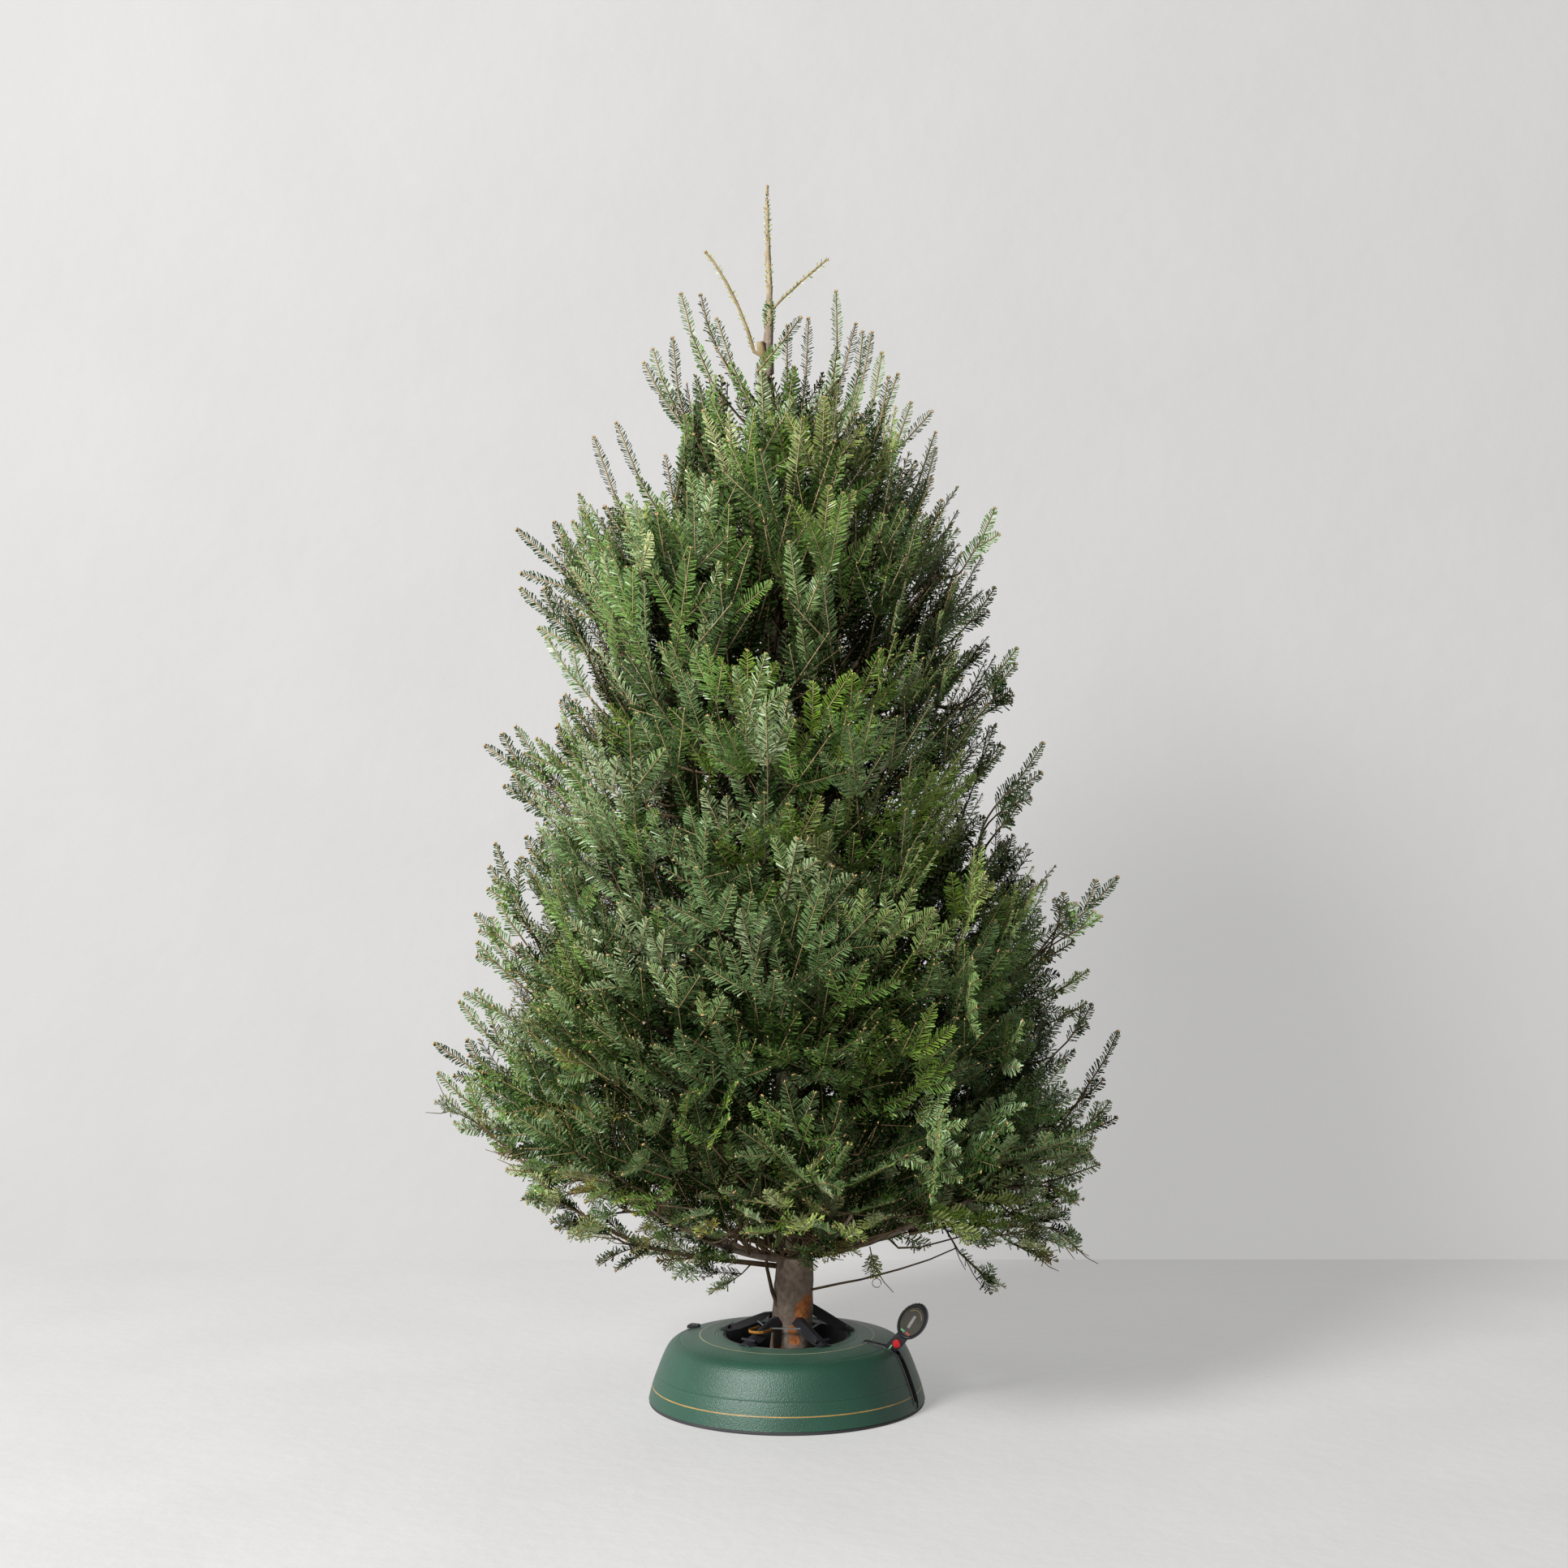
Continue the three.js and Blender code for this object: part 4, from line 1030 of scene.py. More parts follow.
# %% Shoots round the leader
# Each row has the tip's place across and up, the foot's, and how far towards the viewer it stands.
CREST = [
    (-0.180, 1.884, -0.130, 1.740, -0.02), (-0.146, 1.880, -0.119, 1.790, -0.03),
    (-0.119, 1.790, -0.050, 1.680, -0.03), (-0.118, 1.834, -0.060, 1.690, -0.06),
    (-0.196, 1.816, -0.165, 1.640, 0.02), (-0.244, 1.770, -0.175, 1.660, 0.00),
    (-0.226, 1.784, -0.190, 1.690, -0.05), (-0.328, 1.640, -0.240, 1.440, -0.02),
    (-0.286, 1.657, -0.200, 1.480, -0.07), (-0.202, 1.595, -0.165, 1.450, -0.12),
    (-0.302, 1.513, -0.220, 1.400, -0.10), (0.084, 1.896, 0.072, 1.700, 0.02),
    (0.036, 1.836, 0.018, 1.640, -0.05), (0.022, 1.840, -0.050, 1.752, -0.04),
    (0.116, 1.829, 0.060, 1.660, -0.04), (0.130, 1.828, 0.105, 1.690, 0.03),
    (0.144, 1.818, 0.098, 1.650, -0.02), (0.160, 1.778, 0.120, 1.620, -0.05),
    (0.190, 1.754, 0.120, 1.600, 0.02), (0.170, 1.732, 0.130, 1.580, -0.08),
    (0.210, 1.697, 0.150, 1.560, -0.03), (0.244, 1.681, 0.140, 1.580, -0.04),
    (0.253, 1.651, 0.180, 1.480, 0.00), (0.257, 1.631, 0.190, 1.450, 0.05),
    (0.243, 1.564, 0.180, 1.440, -0.06), (0.261, 1.529, 0.200, 1.400, -0.05),
    (-0.016, 1.695, -0.010, 1.560, -0.10), (0.064, 1.629, 0.062, 1.490, -0.12),
    (-0.150, 1.475, -0.153, 1.370, -0.19), (-0.142, 1.375, -0.130, 1.265, -0.22),
    (-0.060, 1.560, -0.050, 1.440, -0.15), (-0.100, 1.640, -0.085, 1.500, -0.10),
    (0.120, 1.540, 0.090, 1.420, -0.16), (0.010, 1.480, 0.020, 1.360, -0.20),
    (-0.050, 1.780, -0.040, 1.650, 0.10), (0.060, 1.760, 0.040, 1.640, 0.12),
    (-0.120, 1.740, -0.080, 1.600, 0.11), (0.130, 1.700, 0.090, 1.560, 0.13),
    (0.000, 1.850, 0.000, 1.700, 0.09),
]
GREEN_FOOT = dict(habit_of(6), gap=0.0036, needle=0.0145, up=0.2)
BARE_TIP = dict(habit_of(6), gap=0.0042, needle=0.0125, width=0.0020, up=0)
for tip_across, tip_height, foot_across, foot_height, front in CREST:
    tip = np.array((tip_across, front, tip_height))
    foot = np.array((foot_across, 0.7 * front, foot_height))
    outward = unit(tip * np.array((1, 1, 0)))
    normal = facing(unit(tip - foot), np.array((0.2, -1.0, 0.0)), 0.1, dice.uniform(-0.7, 0.7))
    foot_tint = dice.choice(("mid", "mid", "deep", "blue"))
    grow_long_shoot(foot, tip, normal, outward, GREEN_FOOT, BARE_TIP, foot_tint, dice.choice(("mid", "deep")))
    root = on_axis(foot_height - 0.03 - 0.6 * abs(foot_across))
    growth.branches.append((list(curve3(root, (root + foot) / 2 - UP * 0.02, foot, 5)), 0.0032, 0.0019))

# %% [markdown]
# The leader has needles all round in four stretches, knobs where needles fell off, and three buds at its
# tip. Its side shoots have the same, only in twos.

# %% Leader's needles and buds
for low, high, habit, tint in (
    (1.710, 1.790, SPARSE, "mid"), (1.820, 1.880, TUFT, "mid"), (1.885, 1.965, SPARSE, "pale"),
    (1.965, 2.060, SPARSE, "pale"),
):
    needle_ring(on_axis(low), on_axis(high), habit, tint)
for height, turn in ((1.905, 2.9), (1.932, -0.6), (1.951, 3.4), (1.984, -2.2), (2.012, 0.4), (2.031, 3.0),
                     (2.052, -0.9)):
    out = np.array((math.cos(turn), math.sin(turn), 0.8))
    knob(on_axis(height) + 0.8 * along(TRUNK, height, 2) * out, out)
leader_tip = on_axis(TREE_HEIGHT - 0.006)
growth.buds.append((leader_tip, UP, np.array((0, -1.0, 0)), 3))
for shoot in SIDE_SHOOTS:
    places = [np.array(p) for p in shoot]
    for a, b in zip(places[1:], places[2:]):
        needle_ring(a, b, SPARSE, "pale", 2)
        knob((a + b) / 2, (0.2, -0.5, 0.9))
    add_tip_buds(places[-2], places[-1])

# %% [markdown]
# ## Needles
#
# A fir needle is flat and blunt, 16 to 20 mm long, and twisted at its foot, so that the needles lie in
# two ranks like the teeth of a comb. Each needle here is a narrow blade of two triangles, thin at its
# foot and blunt at its tip, with a slight twist. The needles of a shoot are worked out together with
# numpy: their feet along the twig, their slant forward, and a small lift. Then the needles of every shoot
# of one tint are joined into one piece, or into two where they are many.

# %% Combs of needles
# Slant and lift are in radians, and each pair is a mean with its spread, or the least and the most.
SLANT = (math.radians(58), 0.10)
SLANT_LESS_AT_TIP = 0.35
LIFT = (0.28, 0.14)
LOWER_LIFT = (-0.75, -0.15)
UPPER_LIFT = (0.6, 1.2)
TWIST = (0, 0.35)
SIZES = (0.85, 1.12)
LOWER_SHARE = 0.3
BLUNT = 0.0009
# The lower needles of a shoot take the next darker tint: painted shade under the upper needles.
SHADED_LOWER_TINTS = {
    "shade": "shade", "deep": "shade", "mid": "deep", "blue": "deep", "fresh": "mid", "pale": "mid",
    "olive": "olive",
}
chance = np.random.default_rng(SEED)


def comb(shoot):
    """The corners of a shoot's upper needles, and of its lower ones: two at the foot and two at the tip."""
    start, end, normal, _, habit = shoot
    axis = end - start
    length = np.linalg.norm(axis)
    direction = axis / length
    normal = unit(normal - direction * (normal @ direction))
    side = np.cross(direction, normal)
    count = max(3, int(length / habit["gap"]))
    below = max(1, int(count * LOWER_SHARE))
    above = int(count * habit["up"])
    rows = (count, count, below, below, above, above)
    t = np.concatenate([(np.arange(n) + 0.5 + 0.4 * (k % 2)) / max(n, 1) for k, n in enumerate(rows)])
    sign = np.repeat((1.0, -1.0) * 3, rows)
    total = sum(rows)
    slant = chance.normal(*SLANT, total) - SLANT_LESS_AT_TIP * np.clip(t - 0.8, 0, 1) / 0.2
    lift = chance.normal(*LIFT, total)
    lift[2 * count:2 * (count + below)] = chance.uniform(*LOWER_LIFT, 2 * below)
    lift[2 * (count + below):] = chance.uniform(*UPPER_LIFT, 2 * above)
    swell = np.sin(np.pi * np.clip(t * 0.8 + 0.16, 0, 1)) ** 0.5
    size = habit["needle"] * chance.uniform(*SIZES, total) * swell
    out = side * (sign * np.cos(lift))[:, None] + normal * np.sin(lift)[:, None]
    needle = direction * np.cos(slant)[:, None] + out * np.sin(slant)[:, None]
    face = np.cross(needle, np.cross(normal, needle))
    face /= np.linalg.norm(face, axis=1)[:, None]
    across = np.cross(face, needle)
    twist = chance.normal(*TWIST, total)[:, None]
    across = across * np.cos(twist) + face * np.sin(twist)
    face = np.cross(needle, across)
    foot = start + axis * t[:, None]
    tip = foot + needle * size[:, None]
    half = across * (habit["width"] / 2)
    cup = face * (habit["width"] * 0.15)
    ends = [foot - half * 0.4, foot + half * 0.4, tip + half + cup, tip - half * 0.8 - needle * BLUNT]
    blades = np.stack(ends, 1)
    under = np.zeros(total, bool)
    under[2 * count:2 * (count + below)] = True
    return blades[~under], blades[under]


def mesh_from(name, corners, faces):
    """A mesh from arrays of corner places and of triangles."""
    mesh = bpy.data.meshes.new(name)
    mesh.vertices.add(len(corners))
    mesh.vertices.foreach_set("co", corners.astype(np.float32).ravel())
    mesh.loops.add(faces.size)
    mesh.loops.foreach_set("vertex_index", faces.astype(np.int32).ravel())
    mesh.polygons.add(len(faces))
    mesh.polygons.foreach_set("loop_start", np.arange(0, faces.size, 3, dtype=np.int32))
    mesh.update(calc_edges=True)
    return mesh


def add_piece(name, mesh, look, replaces=()):
    """Puts a mesh in the scene as a piece that moves with the tree."""
    piece = bpy.data.objects.new(name, mesh)
    bpy.context.scene.collection.objects.link(piece)
    mesh.materials.append(look)
    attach(piece, "root")
    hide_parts(*replaces)


# %% [markdown]
# A needle is waxy on top, and pale underneath where two white bands run along it. The shader reads
# Backfacing for that, so one thin mesh has both sides. The slow tone noise keeps a tint from looking like
# one flat paint.

# %% Needle materials
def needle_look(name, top, second, under, specular=0.6):
    made, tree, shader = new_material(name, 0.40, specular=specular)
    underside = add_node(tree, "NewGeometry", {}).outputs["Backfacing"]
    colour = blend(tree, underside, two_tone(tree, top, second, 26.0, 0.7), linear(under))
    tree.links.new(colour, shader.inputs["Base Color"])
    return made


NEEDLE_LOOKS = {
    "shade": ("green_needles", needle_look("needles_shade", "16240a", "101b08", "1c2b13", 0.0)),
    "deep": ("green_needles", needle_look("needles_deep", "334b1f", "283d16", "3e532a", 0.3)),
    "mid": ("green_needles", needle_look("needles_mid", "668a38", "547431", "728c52")),
    "blue": ("blue_green_needles", needle_look("needles_blue", "718d58", "5c7a46", "8fa274")),
    "fresh": ("green_needles", needle_look("needles_fresh", "7d9b34", "6a8b2c", "879f55")),
    "pale": ("green_needles", needle_look("needles_pale", "9dac5c", "87964e", "a6b076")),
    "olive": ("olive_needles", needle_look("needles_olive", "88873a", "8c7a30", "8c8c50")),
}

# %% Needle pieces
MASSES = [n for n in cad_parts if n.startswith("foliage_")]
BLADE = np.array(((0, 2, 1), (0, 3, 2)))

PIECE_MOST = 190000
total = 0
piles = {tint: [] for tint in TINTS}
for shoot in sorted(growth.shoots, key=lambda s: s[0][2]):
    upper, lower = comb(shoot)
    piles[shoot[3]].append(upper)
    # Lower needles go to the darker tint, as painted shade.
    piles[SHADED_LOWER_TINTS[shoot[3]]].append(lower)
for tint in TINTS:
    combs = piles[tint]
    pieces = math.ceil(2 * sum(len(c) for c in combs) / PIECE_MOST)
    slot, look = NEEDLE_LOOKS[tint]
    for part in range(pieces):
        corners = np.concatenate(combs[part::pieces]).reshape(-1, 3)
        faces = (np.arange(len(corners) // 4)[:, None, None] * 4 + BLADE).reshape(-1, 3)
        name = f"needles_{tint}_{part + 1}"
        add_piece(name, mesh_from(name, corners, faces), look, MASSES)
        total += len(faces)
        print(name, len(faces), "triangles")
print(total, "triangles of needles")

# %% [markdown]
# ## Twigs and buds
#
# Thin wood needs only three sides. Each twig is a tube round its places, and a bud is a small spindle of
# six faces. A tip has one bud or, as many do on a fir in winter, three.

# %% Tubes from arrays
def tube(places, thick, thin, sides):
    """The corners and triangles of a tapering tube with a closed tip."""
    places = np.asarray(places, float)
    count = len(places)
    ahead = np.gradient(places, axis=0)
    ahead /= np.linalg.norm(ahead, axis=1)[:, None]
    aside = np.cross(ahead, (0.31, 0.17, 0.94))
    aside /= np.linalg.norm(aside, axis=1)[:, None]
    above = np.cross(ahead, aside)
    turn = np.arange(sides) * 2 * np.pi / sides
    radius = np.linspace(thick, thin, count)[:, None, None]
    ring = aside[:, None] * np.cos(turn)[None, :, None] + above[:, None] * np.sin(turn)[None, :, None]
    corners = (places[:, None] + ring * radius).reshape(-1, 3)
    i, k = np.meshgrid(np.arange(count - 1), np.arange(sides), indexing="ij")
    a, b = i * sides + k, i * sides + (k + 1) % sides
    faces = np.stack([a, b, b + sides, a, b + sides, a + sides], -1).reshape(-1, 3)
    cap = [(count * sides - sides, count * sides - sides + k, count * sides - sides + k + 1)
           for k in range(1, sides - 1)]
    return corners, np.vstack([faces, cap])


def join_arrays(parts):
    """Many (corners, triangles) pairs as one."""
    counts = np.cumsum([0] + [len(c) for c, _ in parts])
    corners = np.concatenate([c for c, _ in parts])
    faces = np.concatenate([f + n for (_, f), n in zip(parts, counts)])
    return corners, faces


def add_tubes(name, records, sides, look):
    """All the tubes of one kind as one piece."""
    corners, faces = join_arrays([tube(places, thick, thin, sides) for places, thick, thin in records])
    add_piece(name, mesh_from(name, corners, faces), look, MASSES)
    print(name, len(faces), "triangles")


def young_bark_look():
    """Young bark, brown on the low boughs and tan towards the top, where the shoots are bare."""
    made, tree, shader = new_material("young_bark", 0.7, specular=0.25)
    low = two_tone(tree, "82704a", "6a5838", 60.0, 0.8)
    high = two_tone(tree, "9e8c69", "7c6c4c", 60.0, 0.8)
    dress(tree, shader, blend(tree, height_fade(tree, 0.6, 1.7), low, high), (900.0, 0.0002))
    return made


twig_look = young_bark_look()
branch_look = toned("branch_bark", "6a5943", "4a3c2b", 50, 0.8, 0.8, grain=(500, 0.0003), specular=0.1)
add_tubes("twigs", growth.twigs, 3, twig_look)
add_tubes("branches", growth.branches, 3, branch_look)


# %% Buds
BUD_LENGTH = 0.0058
BUD_RADIUS = 0.0018
BUD_FORK = 0.7


def bud(foot, heading):
    """A spindle with three sides and six faces."""
    aside = unit(np.cross(heading, (0.3, 0.5, 0.8)))
    above = np.cross(heading, aside)
    turns = (0, 2 * math.pi / 3, 4 * math.pi / 3)
    waist = foot + heading * BUD_LENGTH * 0.4
    ring = [waist + (aside * math.cos(t) + above * math.sin(t)) * BUD_RADIUS for t in turns]
    corners = np.array([foot, *ring, foot + heading * BUD_LENGTH])
    return corners, np.array([(0, 2, 1), (0, 3, 2), (0, 1, 3), (4, 1, 2), (4, 2, 3), (4, 3, 1)])


bud_parts = []
for place, heading, normal, count in growth.buds:
    side = np.cross(heading, normal)
    for turn in (0, -BUD_FORK, BUD_FORK)[:count]:
        bud_parts.append(bud(place, unit(heading * math.cos(turn) + side * math.sin(turn))))
corners, faces = join_arrays(bud_parts)
bud_look = toned("bud_scales", "c0a070", "a5834f", 120, 0.8, 0.5, grain=(1200, 0.0002))
add_piece("buds", mesh_from("buds", corners, faces), bud_look, MASSES)
print("buds", len(faces), "triangles")

# %% [markdown]
# ## Bark
#
# The trunk, the boughs and the stems are ringed limbs. Each starts as one circle, and the circle is
# extruded from place to place with a transform that turns and scales it, so the limb bends and tapers
# smoothly. The relief is real: every corner moves in or out by a noise that is stretched along the limb,
# as bark ridges are.

# %% Limbs by extrusion
def ring_matrix(place, ahead, radius):
    """Places a unit circle across a limb."""
    turn = Vector(ahead).to_track_quat("Z", "Y").to_matrix().to_4x4()
    return Matrix.Translation(place) @ turn @ Matrix.Scale(radius, 4)


def add_rings(bm, matrices, sides):
    """Extrudes a unit circle from one matrix to the next, and closes both ends."""
    circle = bmesh.ops.create_circle(bm, cap_ends=True, segments=sides, radius=1)
    ring = circle["verts"]
    edges = list({e for v in ring for e in v.link_edges})
    now = matrices[0]
    bmesh.ops.transform(bm, matrix=now, verts=ring)
    for after in matrices[1:]:
        grown = bmesh.ops.extrude_edge_only(bm, edges=edges)["geom"]
        ring = [g for g in grown if isinstance(g, bmesh.types.BMVert)]
        edges = [g for g in grown if isinstance(g, bmesh.types.BMEdge) and all(v in ring for v in g.verts)]
        bmesh.ops.transform(bm, matrix=after @ now.inverted(), verts=ring)
        now = after
    bmesh.ops.contextual_create(bm, geom=edges)


def add_limb(bm, places, radii, sides):
    """A round limb through places, with a radius at each."""
    ahead = np.gradient(np.asarray(places, float), axis=0)
    add_rings(bm, [ring_matrix(p, a, r) for p, a, r in zip(places, ahead, radii)], sides)


def roughen(bm, size, depth, stretch):
    """Moves every corner along its normal by a noise that is longer upwards than across."""
    bm.normal_update()
    for v in bm.verts:
        spot = Vector((v.co.x / size, v.co.y / size, v.co.z / (size * stretch)))
        v.co += v.normal * depth * noise.fractal(spot, 0.7, 2.0, 4)


SHARP_ANGLE = math.radians(38)


def add_solid(name, bm, look, nodes):
    """Adds a piece with its faces turned out, smooth but for its sharp edges."""
    bmesh.ops.recalc_face_normals(bm, faces=bm.faces)
    for face in bm.faces:
        face.smooth = True
    for edge in bm.edges:
        edge.smooth = edge.calc_face_angle(0.0) < SHARP_ANGLE
    mesh = bpy.data.meshes.new(name)
    bm.to_mesh(mesh)
    bm.free()
    add_piece(name, mesh, look, nodes)


# %% [markdown]
# Old bark is three browns and greys over each other. Where it was rubbed off near the foot, rusty wood
# shows in ragged spots, and at the top it gives way to the tan skin of the leader.

# %% Bark material
# The rubbed spots, each with its centre and its reach.
RUBBED = [
    ((0.029, -0.029, 0.161), 0.0165), ((0.036, -0.024, 0.172), 0.0125), ((0.022, -0.034, 0.147), 0.0110),
    ((0.010, -0.036, 0.128), 0.0080), ((0.013, -0.036, 0.110), 0.0095), ((-0.020, -0.033, 0.088), 0.0140),
]
BARE_FROM = 1.80
BARE_FULL = 1.87


def bark_look():
    made, tree, shader = new_material("old_bark", 0.85, specular=0.25)
    brown = two_tone(tree, "85766a", "483b32", 45.0, 0.9)
    red = two_tone(tree, "7d6858", "6a4534", 16.0, 0.9)
    grey = two_tone(tree, "6d6157", "a39f92", 110.0, 0.8)
    rust = two_tone(tree, "b87443", "8c5330", 120.0, 0.9)
    tan = two_tone(tree, "a5957a", "877762", 90.0, 0.8)
    colour = blend(tree, 0.35, blend(tree, 0.45, brown, red), grey)
    for centre, far in RUBBED:
        spot = place_group(tree, SPOT, Centre=centre, Reach=far)
        colour = blend(tree, spot.outputs["Mask"], colour, rust)
    colour = blend(tree, height_fade(tree, BARE_FROM, BARE_FULL), colour, tan)
    dress(tree, shader, colour, (160.0, 0.0015))
    return made


BARK_LOOK = bark_look()

# %% [markdown]
# The trunk has a ring about every centimetre, which is enough for the relief. The leader's side shoots
# and the stub of a cut branch are small limbs of the same kind.

# %% Trunk
TRUNK_SIDES = 40
TRUNK_STEP = 0.009

heights = np.arange(TRUNK[0, 0], TREE_HEIGHT, TRUNK_STEP)
heights = np.append(heights, TREE_HEIGHT)
bm = bmesh.new()
places = [np.array((axis_at(h), 0, h)) for h in heights]
add_limb(bm, places, [along(TRUNK, h, 2) for h in heights], TRUNK_SIDES)
roughen(bm, 0.02, 0.0016, 2.2)
add_solid("trunk_bark", bm, BARK_LOOK, ["trunk"])

# %% Leader's side shoots and the cut stub
bm = bmesh.new()
for shoot, (thick, thin) in zip(SIDE_SHOOTS, SIDE_RADII):
    add_limb(bm, [np.array(p) for p in shoot], np.linspace(thick, thin, len(shoot)), 10)
stub = [(-0.034, -0.002, 1.772), (-0.042, -0.008, 1.786), (-0.045, -0.010, 1.800), (-0.0455, -0.011, 1.806)]
add_limb(bm, [np.array(p) for p in stub], (0.0075, 0.0072, 0.0066, 0.0062), 12)
bmesh.ops.subdivide_edges(bm, edges=bm.edges, cuts=1, use_grid_fill=True)
roughen(bm, 0.006, 0.0006, 2.0)
add_solid("leader_shoots", bm, twig_look, ["shoot_left", "shoot_right"])

# %% [markdown]
# The boughs and stems are drawn from the limbs that the branches grew on. Most boughs of the skirt are
# thinner, and the stems near the crest are thin and stop short, so that no bare end stands out of the
# foliage.

# %% Boughs and stems
BOUGH_ROOT_RADIUS = 0.0085
STEM_TIP_RADIUS = 0.0030
THIN_STEMS_FROM = CREST_HEIGHT - 0.5

bm = bmesh.new()
for index, limb in enumerate(limbs):
    girth = 0.7 if 0 < index < SKIRT_LIMBS else 1
    if limb[0][2] > THIN_STEMS_FROM:
        limb, girth = limb[:-3], 0.55
    add_limb(bm, limb, girth * np.linspace(BOUGH_ROOT_RADIUS, STEM_TIP_RADIUS, len(limb)), 8)
bmesh.ops.subdivide_edges(bm, edges=bm.edges, cuts=1, use_grid_fill=True)
roughen(bm, 0.012, 0.0009, 1.0)
BOUGHS = [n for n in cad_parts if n.startswith("bough_")]
add_solid("bough_bark", bm, BARK_LOOK, BOUGHS)

# %% [markdown]
# ## The stand's shell
#
# The shell is one moulding of textured green plastic. A turned shape is drawn as half of its section and
# spun round the axis, which is how a lathe would make the mould. The section starts from a few measured
# places, and a smooth curve through them gives the rounded shoulder. Fine grooves are pressed into it
# where the real shell has its creases.

# %% Turned pieces
STAND_STEPS = 128
SHELL_OUTSIDE = np.array([
    (0.2355, 0.0063), (0.2297, 0.029), (0.222, 0.051), (0.2125, 0.075), (0.204, 0.092), (0.195, 0.101),
    (0.182, 0.106), (0.1485, 0.112), (0.1215, 0.113), (0.1085, 0.112),
])
SHELL_INSIDE = [
    (0.1085, 0.106), (0.1125, 0.108), (0.180, 0.1018), (0.198, 0.091), (0.218, 0.050), (0.2315, 0.0063),
]
# A groove's radius and height, its half width and its depth.
GROOVES = [
    (0.2225, 0.0505, 0.0011, 0.0010), (0.182, 0.106, 0.0016, 0.0008), (0.1485, 0.112, 0.0016, -0.0005),
    (0.1215, 0.113, 0.0013, 0.0010), (0.1165, 0.1128, 0.0013, 0.0008),
]


def smooth_line(points, step):
    """Places along a smooth curve through points, about a step apart."""
    padded = np.vstack([2 * points[0] - points[1], points, 2 * points[-1] - points[-2]])
    line = []
    for a, b, c, d in zip(padded, padded[1:], padded[2:], padded[3:]):
        for t in np.linspace(0, 1, max(2, math.ceil(np.linalg.norm(c - b) / step)), endpoint=False):
            line.append(0.5 * (2 * b + (c - a) * t + (2 * a - 5 * b + 4 * c - d) * t ** 2
                               + (3 * b - a - 3 * c + d) * t ** 3))
    return np.array(line + [points[-1]])


def grooved(line):
    """The line with its grooves pressed in."""
    ahead = np.gradient(line, axis=0)
    ahead /= np.linalg.norm(ahead, axis=1)[:, None]
    inward = np.stack([-ahead[:, 1], ahead[:, 0]], axis=1)
    shift = np.zeros(len(line))
    for radius, height, half, depth in GROOVES:
        distance = np.hypot(line[:, 0] - radius, line[:, 1] - height)
        shift += depth * np.exp(-((distance / half) ** 2))
    return line + inward * shift[:, None]


def turn_profile(bm, points):
    """Spins a closed section of (radius, height) points round the Z axis."""
    verts = [bm.verts.new((radius, 0, height)) for radius, height in points]
    edges = [bm.edges.new(pair) for pair in zip(verts, verts[1:] + verts[:1])]
    circle = dict(cent=(0, 0, 0), axis=(0, 0, 1), angle=2 * math.pi, steps=STAND_STEPS)
    bmesh.ops.spin(bm, geom=verts + edges, use_merge=True, **circle)
    bmesh.ops.remove_doubles(bm, verts=bm.verts, dist=1e-6)


# %% [markdown]
# The lever swings in a slot that runs up the side and over the shoulder. Four planes cut the shell's
# faces along the slot's edges, the faces between them are taken away, and the two open outlines, outside
# and inside, are bridged, which gives the slot its walls.

# %% Shell and its slot
LEVER_TURN = math.radians(-22)
LEVER_OUT = Vector((math.cos(LEVER_TURN), math.sin(LEVER_TURN), 0))
LEVER_SIDE = Vector((math.sin(LEVER_TURN), -math.cos(LEVER_TURN), 0))
SLOT_HALF = 0.008
SLOT_START = 0.140
SLOT_FOOT = 0.008


def cut_slot(bm):
    def by_slot(face, half, start, foot):
        centre = face.calc_center_median()
        return abs(centre @ LEVER_SIDE) < half and centre @ LEVER_OUT > start and centre.z > foot

    planes = [
        (LEVER_SIDE * SLOT_HALF, LEVER_SIDE), (LEVER_SIDE * -SLOT_HALF, LEVER_SIDE),
        (LEVER_OUT * SLOT_START, LEVER_OUT), (Vector((0, 0, SLOT_FOOT)), Vector((0, 0, 1))),
    ]
    for place, across in planes:
        faces = [f for f in bm.faces if by_slot(f, 0.025, 0.12, 0.0)]
        parts = faces + list({e for f in faces for e in f.edges}) + list({v for f in faces for v in f.verts})
        bmesh.ops.bisect_plane(bm, geom=parts, plane_co=place, plane_no=across, dist=1e-6)
    gone = [f for f in bm.faces if by_slot(f, SLOT_HALF, SLOT_START, SLOT_FOOT)]
    bmesh.ops.delete(bm, geom=gone, context="FACES")
    rims = [e for e in bm.edges if e.is_boundary]
    bmesh.ops.bridge_loops(bm, edges=rims)
    print("slot", len(gone), "faces out,", len(rims), "rim edges bridged")


bm = bmesh.new()
turn_profile(bm, [*grooved(smooth_line(SHELL_OUTSIDE, 0.0013)), *SHELL_INSIDE])
bmesh.ops.recalc_face_normals(bm, faces=bm.faces)
cut_slot(bm)

# %% [markdown]
# The plastic is satin, with the fine leather-like texture that hides scratches. Two thin lines are
# painted on it, one low on the side and one round the top, and dust lies on the flat top. The lines come
# from a mask by radius and height, so they are crisp and cross the slot as the painted ones do. A third
# one is painted shade, a dark line in the crease of the side.

# %% Green plastic
LINE_HALF = 0.0010


